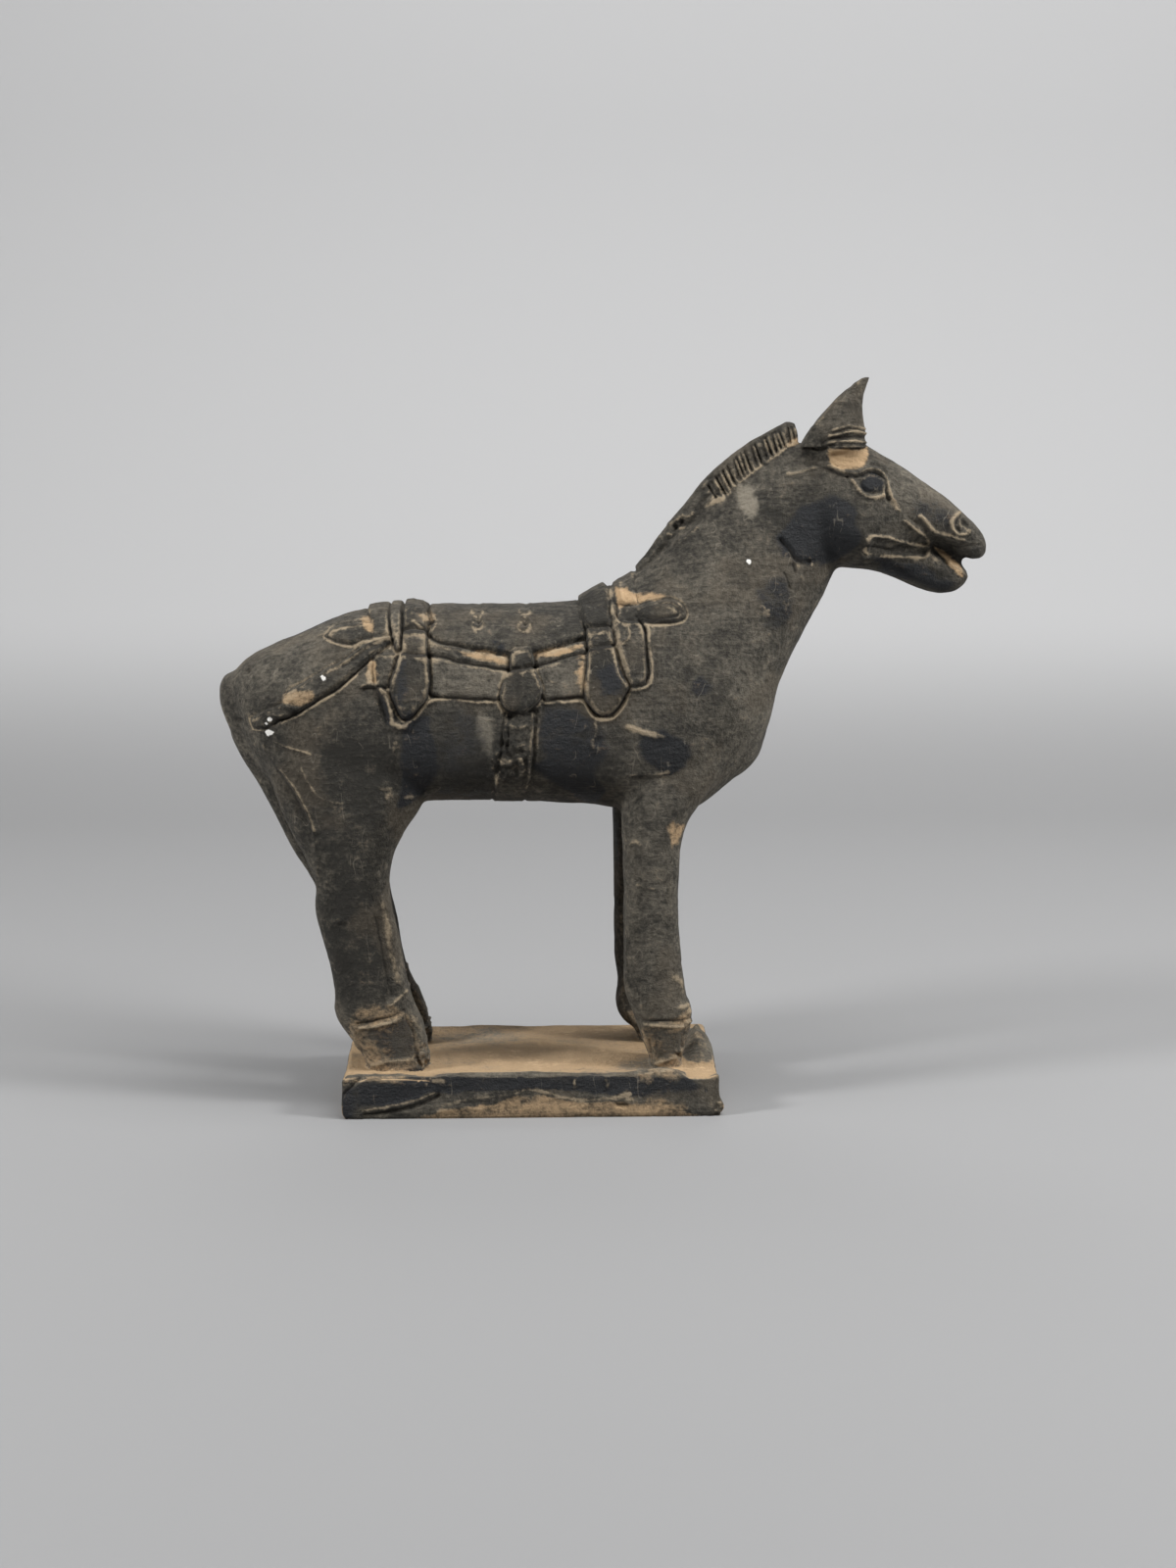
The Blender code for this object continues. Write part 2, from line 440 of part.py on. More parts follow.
def mane_relief(x, z):
    """Strokes across the mane's plate, clear near the ears and fading to the withers."""
    foot = smooth_rows(MANE_FOOT, MANE_STATIONS)
    crest = smooth_rows(MANE_CREST, MANE_STATIONS)
    outline = np.concatenate([foot, crest[::-1]])
    inside = bell(np.maximum(outline_distance(x, z, outline), 0.0), EDGE_SOFTNESS)
    phase = (x * STROKE_ACROSS[0] + z * STROKE_ACROSS[1]) / STROKE_PITCH
    stroke = np.abs(phase - np.round(phase)) * STROKE_PITCH
    clear = np.clip((x - STROKE_START) / STROKE_FADE, STROKE_FAINTEST, 1.0)
    rim = np.clip(path_distance(x, z, crest) / RIM_WIDTH - 0.5, 0.0, 1.0)
    return -STROKE_DEPTH * inside * clear * rim * bell(stroke, STROKE_HALF_WIDTH)


def ring_relief(x, z):
    """The rings round each pastern and the hoof's upper edge."""
    height = np.zeros(x.shape)
    for rings, reach in ((FORE_RINGS, FORE_REACH), (HIND_RINGS, HIND_REACH)):
        along = (x > reach[0]) & (x < reach[1])
        for level, tilt, middle in rings:
            line = GROUND + level + tilt * (x - middle)
            height += along * RING_HEIGHT * bell(z - line, RING_HALF_WIDTH)
    return height


def carve(item):
    """Raises and cuts the relief along the surface of the blended horse."""
    mesh = item.data
    count = len(mesh.vertices)
    flat = np.empty(count * 3, dtype=np.float32)
    mesh.vertices.foreach_get("co", flat)
    points = flat.reshape(-1, 3).astype(float)
    mesh.vertex_normals.foreach_get("vector", flat)
    normals = flat.reshape(-1, 3).astype(float)
    x = points[:, 0] / UNIT
    z = (points[:, 2] - BASE_THICKNESS) / UNIT + GROUND
    height = trappings_relief(x, z) + mane_relief(x, z) + ring_relief(x, z)
    height[points[:, 2] < BASE_THICKNESS + UNIT] = 0.0
    points += normals * (height * RELIEF_DEPTH)[:, None]
    mesh.vertices.foreach_set("co", points.astype(np.float32).ravel())
    mesh.update()


def flatten_underside(item):
    """Puts every point of the underside exactly on the ground."""
    for vert in item.data.vertices:
        if vert.co.z < UNDERSIDE_BAND:
            vert.co.z = 0.0


def body_mesh():
    """All the lofted members of the horse in one mesh, still overlapping."""
    mesh = bmesh.new()
    for rows in (TRUNK, NECK, SKULL, JAW, MOUTH_FILL, TAIL, EAR_ROOT):
        loft(mesh, rows)
    loft(mesh, FORE_LEG, -1.0)
    loft(mesh, HIND_LEG, -1.0)
    loft(mesh, far_leg(FORE_LEG, *FAR_FORE))
    loft(mesh, far_leg(HIND_LEG, *FAR_HIND))
    bmesh.ops.recalc_face_normals(mesh, faces=mesh.faces)
    return mesh


def crisp_mesh():
    """The members that keep their edges: the mane plate, the ears and the base."""
    mesh = bmesh.new()
    loft(mesh, mane_rows())
    loft(mesh, EAR, -1.0)
    loft(mesh, [(a, b - FAR_EAR_DROP, c, d - FAR_EAR_DROP, *rest) for a, b, c, d, *rest in EAR], 1.0)
    slab = bmesh.ops.create_cube(mesh, size=1.0)["verts"]
    bmesh.ops.scale(mesh, verts=slab, vec=(BASE_LENGTH, BASE_WIDTH, BASE_THICKNESS))
    bmesh.ops.translate(mesh, verts=slab, vec=(0.0, 0.0, BASE_THICKNESS / 2))
    edges = list({edge for vert in slab for edge in vert.link_edges})
    bmesh.ops.bevel(mesh, geom=edges, offset=BASE_EDGE_RADIUS, segments=2, affect="EDGES", profile=0.5)
    bmesh.ops.recalc_face_normals(mesh, faces=mesh.faces)
    return mesh


def object_from(name, mesh, group):
    """Turns a bmesh into an object in the collection."""
    data = bpy.data.meshes.new(name)
    mesh.to_mesh(data)
    mesh.free()
    item = bpy.data.objects.new(name, data)
    group.objects.link(item)
    return item


def applied(item):
    """Replaces an object's mesh by its evaluated one and drops its modifiers."""
    graph = bpy.context.evaluated_depsgraph_get()
    data = bpy.data.meshes.new_from_object(item.evaluated_get(graph))
    item.modifiers.clear()
    item.data = data
    return item


def remeshed(item, grid, passes):
    """Joins overlapping shapes into one closed skin and softens it."""
    joining = item.modifiers.new("one skin", "REMESH")
    joining.mode = "VOXEL"
    joining.voxel_size = grid
    joining.adaptivity = 0.0
    if passes:
        easing = item.modifiers.new("soft", "SMOOTH")
        easing.factor = 0.5
        easing.iterations = passes
    return applied(item)


def joined(name, items, group):
    """Puts the meshes of several objects into one object."""
    mesh = bmesh.new()
    for item in items:
        mesh.from_mesh(item.data)
        bpy.data.objects.remove(item, do_unlink=True)
    return object_from(name, mesh, group)


def build():
    clear_scene()
    group = bpy.data.collections.new("clay_horse_figure")
    bpy.context.scene.collection.children.link(group)
    body = remeshed(object_from("body", body_mesh(), group), BLEND_GRID, BLEND_PASSES)
    crisp = object_from("crisp", crisp_mesh(), group)
    horse = joined("clay_horse", [body, crisp], group)
    remeshed(horse, FINE_GRID, FINE_PASSES)
    carve(horse)
    faces = len(horse.data.polygons) * 2
    thinning = horse.modifiers.new("thin", "DECIMATE")
    thinning.ratio = min(1.0, TARGET_TRIANGLES / faces)
    thinning.use_collapse_triangulate = True
    applied(horse)
    flatten_underside(horse)
    clay = bpy.data.materials.new("fired_clay")
    clay.use_nodes = True
    shader = clay.node_tree.nodes["Principled BSDF"]
    shader.inputs["Base Color"].default_value = CLAY_COLOUR
    shader.inputs["Roughness"].default_value = CLAY_ROUGHNESS
    shader.inputs["Metallic"].default_value = CLAY_METALLIC
    horse.data.materials.append(clay)
    horse.data.shade_smooth()


build()
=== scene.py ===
"""The clay horse figure's looks: its fine surface, its clay, dust and soot, a pale floor and soft light.

The horse faces +X and its near flank faces -Y. Stations and relief are read in parts of
the horse's height over its base, which are close to a millimetre each. The finer marks
are places read off the photograph, which side_places lays on the solid.
"""
import itertools
import math
import random

import bmesh
import bpy
import numpy as np
from mathutils import Euler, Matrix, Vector
from mathutils.bvhtree import BVHTree

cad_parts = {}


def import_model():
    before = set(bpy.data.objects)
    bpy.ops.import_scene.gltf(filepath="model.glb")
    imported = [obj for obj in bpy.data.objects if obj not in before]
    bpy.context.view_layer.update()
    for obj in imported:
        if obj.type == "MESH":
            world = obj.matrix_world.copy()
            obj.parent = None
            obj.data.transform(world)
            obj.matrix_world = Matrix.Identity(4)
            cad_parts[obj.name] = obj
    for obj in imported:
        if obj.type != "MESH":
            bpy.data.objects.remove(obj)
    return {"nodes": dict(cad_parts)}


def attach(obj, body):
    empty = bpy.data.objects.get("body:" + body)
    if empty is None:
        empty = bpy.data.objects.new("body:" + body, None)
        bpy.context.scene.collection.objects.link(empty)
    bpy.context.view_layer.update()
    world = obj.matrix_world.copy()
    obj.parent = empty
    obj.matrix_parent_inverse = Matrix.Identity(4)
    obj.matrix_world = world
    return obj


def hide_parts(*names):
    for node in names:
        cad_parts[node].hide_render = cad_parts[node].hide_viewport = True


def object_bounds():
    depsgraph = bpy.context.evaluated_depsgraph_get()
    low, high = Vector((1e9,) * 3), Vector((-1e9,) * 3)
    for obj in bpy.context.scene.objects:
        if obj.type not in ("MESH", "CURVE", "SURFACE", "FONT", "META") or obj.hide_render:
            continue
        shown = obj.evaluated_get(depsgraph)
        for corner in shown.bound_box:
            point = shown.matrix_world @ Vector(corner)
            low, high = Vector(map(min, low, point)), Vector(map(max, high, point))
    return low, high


# Sizes in metres, the same as the solid's
HORSE_HEIGHT = 0.237
BASE_LENGTH = 0.130
BASE_WIDTH = 0.073
BASE_THICKNESS = 0.014
BASE_EDGE_RADIUS = 0.0018
RELIEF_DEPTH = 0.0014
HEIGHT_PARTS = 237.0
UNIT = HORSE_HEIGHT / HEIGHT_PARTS
GROUND = 13.5

# Mesh fineness, in metres, and how many triangles are kept
BLEND_GRID = 0.0010
BLEND_PASSES = 18
FINE_GRID = 0.00048
FINE_PASSES = 3
TARGET_TRIANGLES = 194000
LOFT_SIDES = 72
LOFT_STEPS = 70

# The photograph's frame, in pixels, and the camera that took it
PHOTO_WIDTH = 1200
PHOTO_HEIGHT = 1600
SENSOR = 36.0
CAMERA_PLACE = (-0.00521, -0.81524, 0.2411)
CAMERA_TILT = 80.88
CAMERA_TURN = -1.8
CAMERA_LENS = 54.0
# A mark just off the horse's outline is taken to lie in this plane, y in metres
OUTLINE_PLANE = -0.010
# Parts to a pixel on the near flank
PIXEL = 0.335

# Each station is one section of the body: the two ends of the section in the side
# view (x, z, x, z), its half width, its middle's y, its squareness and its lean,
# which is the share by which the first end is wider than the second
TRUNK = [
    (-103.5, 147.0, -100.5, 132.0, 8.0, 0.0, 2.2, 0.0),
    (-99.5, 153.2, -95.0, 120.0, 18.0, 0.0, 2.3, 0.0),
    (-91.0, 158.4, -87.0, 109.0, 25.0, 0.0, 2.4, 0.0),
    (-80.0, 162.9, -77.0, 104.0, 29.5, 0.0, 2.4, -0.05),
    (-66.0, 169.0, -65.0, 103.0, 32.5, 0.0, 2.4, -0.08),
    (-52.0, 172.3, -52.0, 104.5, 33.5, 0.0, 2.4, -0.10),
    (-36.0, 172.2, -36.0, 105.2, 33.5, 0.0, 2.4, -0.10),
    (-18.0, 171.8, -18.0, 105.2, 33.5, 0.0, 2.4, -0.10),
    (2.0, 171.9, 2.0, 104.8, 33.5, 0.0, 2.4, -0.10),
    (20.0, 173.0, 21.0, 103.6, 33.5, 0.0, 2.4, -0.10),
    (35.0, 176.0, 38.0, 101.0, 33.0, 0.0, 2.3, -0.10),
    (49.0, 176.0, 56.0, 101.0, 31.0, 0.0, 2.3, -0.08),
    (60.0, 170.0, 67.8, 109.3, 27.0, 0.0, 2.2, 0.0),
    (70.0, 162.0, 78.0, 117.3, 20.0, 0.0, 2.2, 0.0),
    (76.0, 152.0, 82.8, 127.3, 10.0, 0.0, 2.2, 0.0),
]
NECK = [
    (12.0, 170.0, 66.0, 108.0, 30.0, 0.0, 2.3, -0.15),
    (24.0, 177.2, 81.6, 127.0, 28.5, 0.0, 2.3, -0.20),
    (36.5, 184.2, 86.9, 145.5, 25.0, 0.0, 2.3, -0.25),
    (49.5, 197.0, 94.0, 161.4, 21.0, 0.0, 2.3, -0.25),
    (62.0, 209.0, 101.2, 174.4, 17.5, 0.0, 2.3, -0.20),
    (72.5, 219.0, 105.6, 184.4, 15.5, 0.0, 2.3, -0.15),
    (82.0, 225.5, 110.0, 196.0, 14.0, 0.0, 2.3, -0.10),
    (91.0, 229.5, 114.0, 208.0, 12.5, 0.0, 2.3, 0.0),
]
SKULL = [
    (90.0, 226.0, 92.0, 196.0, 9.5, 0.0, 2.3, 0.0),
    (98.5, 229.5, 98.5, 189.5, 14.5, 0.0, 2.4, -0.05),
    (107.5, 229.6, 106.5, 186.2, 17.0, 0.0, 2.4, -0.10),
    (115.5, 227.6, 114.0, 186.6, 17.4, 0.0, 2.4, -0.15),
    (122.5, 223.8, 121.0, 188.3, 16.0, 0.0, 2.3, -0.10),
    (130.3, 219.1, 127.8, 190.8, 13.6, 0.0, 2.3, 0.0),
    (138.5, 213.6, 134.0, 193.4, 11.6, 0.0, 2.3, 0.0),
    (145.5, 208.6, 140.0, 194.2, 10.5, 0.0, 2.4, 0.05),
    (151.4, 203.3, 145.5, 191.8, 10.4, 0.0, 2.4, 0.10),
    (155.3, 199.6, 149.5, 189.2, 9.4, 0.0, 2.4, 0.0),
    (158.2, 195.2, 153.8, 188.0, 7.4, 0.0, 2.4, 0.0),
    (159.2, 192.2, 157.2, 188.4, 4.0, 0.0, 2.2, 0.0),
]
JAW = [
    (110.0, 202.0, 106.0, 186.0, 12.0, 0.0, 2.3, 0.0),
    (118.5, 198.0, 117.0, 184.8, 11.0, 0.0, 2.3, 0.0),
    (127.0, 195.0, 125.2, 182.5, 9.6, 0.0, 2.3, 0.0),
    (134.0, 192.6, 134.5, 178.4, 8.8, 0.0, 2.4, 0.0),
    (140.8, 189.4, 142.0, 176.5, 8.2, 0.0, 2.4, 0.0),
    (146.3, 187.2, 148.4, 177.4, 7.4, 0.0, 2.4, 0.0),
    (150.6, 185.8, 152.0, 180.6, 5.4, 0.0, 2.4, 0.0),
    (152.2, 184.4, 152.4, 182.6, 3.0, 0.0, 2.2, 0.0),
]
MOUTH_FILL = [
    (130.0, 198.0, 131.0, 186.0, 6.4, 0.0, 2.3, 0.0),
    (138.0, 196.0, 139.0, 184.0, 6.0, 0.0, 2.3, 0.0),
    (144.0, 193.0, 145.0, 182.5, 5.4, 0.0, 2.3, 0.0),
    (148.0, 191.0, 149.0, 182.5, 4.6, 0.0, 2.3, 0.0),
    (149.6, 190.0, 150.4, 183.5, 3.4, 0.0, 2.3, 0.0),
]
TAIL = [
    (-105.6, 149.0, -88.0, 151.4, 8.0, 0.0, 2.4, 0.0),
    (-107.6, 143.0, -87.0, 143.0, 10.0, 0.0, 2.4, 0.0),
    (-105.9, 133.5, -86.0, 134.0, 10.5, 0.0, 2.4, 0.0),
    (-101.5, 122.6, -84.0, 123.0, 10.0, 0.0, 2.4, 0.0),
    (-96.4, 113.4, -81.0, 113.0, 9.0, 0.0, 2.4, 0.0),
    (-90.2, 102.0, -78.0, 101.0, 8.0, 0.0, 2.4, 0.0),
    (-83.4, 87.7, -73.0, 88.0, 6.8, 0.0, 2.4, 0.0),
    (-76.2, 74.8, -66.0, 77.0, 5.6, 0.0, 2.4, 0.0),
    (-73.5, 68.0, -66.0, 70.0, 4.4, 0.0, 2.4, 0.0),
]
HIND_LEG = [
    (-35.0, 138.0, -94.0, 142.0, 14.0, 13.0, 2.3, 0.0),
    (-34.5, 122.0, -91.0, 124.0, 15.5, 16.5, 2.3, 0.0),
    (-36.6, 107.0, -87.0, 109.0, 14.8, 18.0, 2.4, 0.0),
    (-42.4, 98.0, -82.4, 98.5, 13.3, 19.0, 2.4, 0.0),
    (-47.0, 88.0, -77.4, 88.0, 12.0, 19.3, 2.5, 0.0),
    (-48.5, 78.5, -73.9, 78.5, 11.2, 19.3, 2.5, 0.0),
    (-47.5, 69.0, -74.4, 70.5, 10.6, 19.0, 2.5, 0.0),
    (-45.2, 58.0, -71.6, 58.0, 10.1, 18.7, 2.5, 0.0),
    (-43.6, 48.0, -68.8, 46.0, 9.9, 18.3, 2.5, 0.0),
    (-42.0, 40.5, -67.9, 38.0, 10.1, 18.0, 2.5, 0.0),
    (-40.6, 36.0, -68.4, 34.0, 10.1, 17.8, 2.6, 0.0),
    (-38.6, 31.0, -66.6, 29.5, 9.8, 17.6, 2.7, 0.0),
    (-36.8, 25.0, -63.2, 24.0, 9.3, 17.4, 2.8, 0.0),
    (-35.3, 18.0, -59.0, 18.0, 8.9, 17.2, 2.8, 0.0),
    (-34.8, 12.0, -57.0, 12.0, 8.8, 17.2, 2.8, 0.0),
]
FORE_LEG = [
    (74.0, 132.0, 30.0, 132.0, 13.0, 13.0, 2.3, 0.0),
    (66.0, 116.0, 30.8, 116.0, 14.0, 16.0, 2.3, 0.0),
    (58.4, 106.0, 31.4, 106.0, 13.8, 17.5, 2.4, 0.0),
    (53.6, 98.5, 31.5, 98.5, 12.6, 18.7, 2.4, 0.0),
    (51.8, 90.0, 31.8, 90.0, 11.6, 19.2, 2.5, 0.0),
    (51.3, 79.0, 32.0, 79.0, 10.7, 19.2, 2.6, 0.0),
    (51.1, 65.0, 32.2, 65.0, 10.0, 18.9, 2.6, 0.0),
    (52.0, 53.0, 32.4, 53.0, 9.7, 18.5, 2.6, 0.0),
    (53.3, 44.0, 32.3, 44.0, 10.0, 18.2, 2.6, 0.0),
    (53.9, 38.5, 33.4, 37.5, 10.3, 18.0, 2.6, 0.0),
    (55.5, 33.5, 35.2, 32.5, 10.4, 17.8, 2.7, 0.0),
    (55.3, 27.5, 37.4, 26.5, 9.8, 17.6, 2.8, 0.0),
    (54.4, 21.5, 39.4, 21.0, 9.0, 17.4, 2.8, 0.0),
    (52.8, 16.5, 41.2, 16.5, 8.5, 17.2, 2.8, 0.0),
    (52.4, 12.0, 41.8, 12.0, 8.4, 17.2, 2.8, 0.0),
]
EAR = [
    (92.5, 227.0, 115.0, 227.0, 6.5, 8.6, 2.2, 0.0),
    (96.4, 234.0, 114.0, 234.0, 5.8, 9.6, 2.1, 0.0),
    (100.4, 239.0, 113.4, 239.0, 4.8, 10.4, 2.1, 0.0),
    (104.4, 243.6, 113.5, 243.6, 3.7, 11.0, 2.1, 0.0),
    (108.9, 247.4, 114.4, 247.4, 2.5, 11.4, 2.0, 0.0),
    (112.3, 249.7, 115.2, 249.7, 1.4, 11.6, 2.0, 0.0),
    (113.8, 250.6, 115.3, 250.6, 0.7, 11.6, 2.0, 0.0),
]
EAR_ROOT = [
    (97.0, 225.0, 115.3, 226.0, 16.4, 0.0, 2.3, 0.0),
    (98.0, 229.5, 115.0, 229.5, 16.0, 0.0, 2.3, 0.0),
    (99.5, 233.0, 114.2, 233.5, 14.8, 0.0, 2.3, 0.0),
    (101.5, 236.0, 112.9, 236.6, 12.5, 0.0, 2.3, 0.0),
    (105.0, 238.0, 111.0, 238.0, 8.0, 0.0, 2.2, 0.0),
]

# The mane stands as a plate on the crest of the neck: its foot and its crest
MANE_FOOT = [(37.0, 184.0), (50.5, 196.0), (62.0, 207.0), (70.0, 216.0), (79.0, 222.5), (91.5, 228.5)]
MANE_CREST = [(36.8, 186.0), (49.0, 202.0), (60.3, 215.6), (69.1, 223.8), (79.6, 230.6), (88.9, 235.4)]
MANE_FRONT = (92.4, 229.4)
MANE_SECTION = (4.6, 0.0, 2.6, -0.30)
MANE_SUNK = 5.0
MANE_SHORTEST = 0.5
MANE_STEP_DROP = 0.6

# How the far side differs from the near one, in parts: each leg's offset along X
# under the belly and at the hoof, and how far its heel reaches back
FAR_FORE = (-1.8, -0.6, 6.0)
FAR_HIND = (-2.8, -0.2, 0.0)
HEEL_HEIGHT = 11.0
HEEL_SPREAD = 8.5
HOOF_TO_SHANK = 30.0
FAR_EAR_DROP = 3.4

# The trappings, laid over one another in this order: name, how high each stands as a
# share of the relief's depth, whether its outline is rounded, how dusty the ground is
# beside it, how much paler its top is, and its outline's marks in the photograph
FORMS = [
    ("cloth behind the girth", 0.5, False, 0.55, 0.05, [(439, 662), (440, 710), (480, 713), (508, 714),
        (521, 700), (521, 684), (500, 680), (480, 676), (462, 674), (448, 668)]),
    ("cloth before the girth", 0.5, False, 0.55, 0.05, [(544, 680), (546, 700), (556, 714), (575, 713),
        (595, 711), (600, 718), (608, 727), (616, 732), (623, 730), (631, 722), (636, 714), (641, 703),
        (628, 668), (598, 664), (572, 672)]),
    ("girth strap", 0.4, False, 0.35, 0.0, [(516, 728), (515, 752), (512, 775), (506, 797), (504, 818),
        (534, 818), (538, 804), (542, 774), (544, 728)]),
    ("seat strap, rear", 0.78, False, 0.45, 0.0, [(436, 648), (450, 656), (468, 660), (493, 666),
        (520, 672), (520, 684), (493, 679), (468, 675), (450, 670), (436, 669)]),
    ("seat strap, front", 0.78, False, 0.45, 0.05, [(543, 670), (557, 665), (575, 660), (597, 653),
        (598, 665), (577, 671), (557, 677), (544, 681)]),
    ("seat", 0.95, False, 0.35, -0.07, [(432, 604), (437, 622), (438, 640), (438, 648), (442, 653),
        (450, 656), (468, 659), (493, 663), (520, 668), (544, 667), (557, 663), (575, 658), (596, 651),
        (596, 604)]),
    ("band A", 0.95, False, 0.5, 0.0, [(374, 609), (375, 624), (379, 629), (379, 649), (397, 648),
        (397, 628), (397, 609)]),
    ("small rear panel", 0.6, False, 0.5, -0.08, [(383, 669), (382, 683), (383, 701), (397, 700),
        (401, 683), (406, 667)]),
    ("croup leaf", 0.78, True, 0.8, -0.12, [(333, 649), (341, 641), (353, 638), (371, 636), (379, 636),
        (379, 649), (369, 652), (361, 656), (346, 655)]),
    ("crupper strap", 0.95, False, 0.8, -0.05, [(400, 650), (385, 654), (371, 660), (350, 676),
        (331, 685), (319, 692), (306, 700), (296, 704), (290, 711), (288, 718), (272, 725), (257, 734),
        (260, 742), (270, 743), (280, 737), (294, 730), (307, 724), (329, 710), (342, 702), (361, 686),
        (374, 674), (385, 665), (399, 656)]),
    ("band B", 1.2, False, 0.75, 0.1, [(398, 609), (397, 628), (398, 639), (401, 652), (405, 662),
        (408, 663), (409, 649), (410, 633), (412, 609)]),
    ("roll C", 1.85, False, 0.5, -0.1, [(412, 606), (412, 624), (411, 643), (435, 644), (435, 632),
        (432, 624), (437, 619), (436, 606)]),
    ("rear leaf ornament", 2.0, True, 0.9, 0.15, [(423, 625), (429, 626), (436, 629), (438, 635),
        (435, 638), (429, 635), (424, 631)]),
    ("rear tongue", 1.35, True, 0.8, -0.18, [(408, 665), (405, 679), (400, 692), (398, 706), (403, 719),
        (413, 734), (428, 722), (437, 708), (437, 687), (435, 667)]),
    ("rear buckle", 1.65, False, 0.6, -0.08, [(411, 644), (410, 666), (435, 669), (435, 645)]),
    ("front cloth", 0.65, False, 0.8, -0.12, [(628, 632), (633, 664), (645, 701), (659, 698), (659, 664),
        (656, 639), (649, 628)]),
    ("collar ground", 0.55, False, 0.3, 0.0, [(627, 585), (628, 616), (650, 616), (646, 595),
        (647, 583)]),
    ("shoulder loop", 0.95, True, 0.95, -0.05, [(631, 619), (650, 618), (669, 613), (683, 612),
        (695, 616), (699, 625), (696, 632), (684, 635), (667, 635), (652, 634), (633, 632)]),
    ("loop hollow", 0.5, True, 0.0, -0.2, [(636, 623), (652, 621), (669, 616), (683, 615), (692, 619),
        (695, 625), (692, 630), (681, 632), (667, 632), (652, 632), (637, 631)]),
    ("loop tongue", 0.95, True, 0.5, -0.15, [(653, 626), (658, 621), (672, 618), (683, 618), (690, 622),
        (691, 627), (682, 630), (669, 631), (656, 630)]),
    ("pommel", 1.85, False, 0.5, -0.22, [(591, 590), (593, 616), (595, 632), (598, 643), (623, 640),
        (621, 618), (621, 590)]),
    ("front tongue", 1.3, True, 0.8, -0.25, [(601, 661), (599, 682), (597, 700), (598, 711), (605, 723),
        (613, 730), (622, 729), (630, 722), (636, 711), (641, 702), (633, 687), (625, 660)]),
    ("front buckle", 1.65, False, 0.6, -0.2, [(598, 644), (600, 662), (610, 661), (626, 658),
        (623, 642)]),
    ("pendant leaf", 1.4, True, 0.95, -0.15, [(522, 684), (516, 692), (512, 702), (511, 714), (516, 723),
        (524, 727), (534, 728), (543, 722), (549, 716), (552, 708), (551, 697), (547, 688), (544, 682)]),
    ("girth buckle", 1.7, False, 0.6, -0.12, [(522, 666), (528, 663), (539, 663), (543, 668), (545, 680),
        (533, 683), (520, 683)]),
]
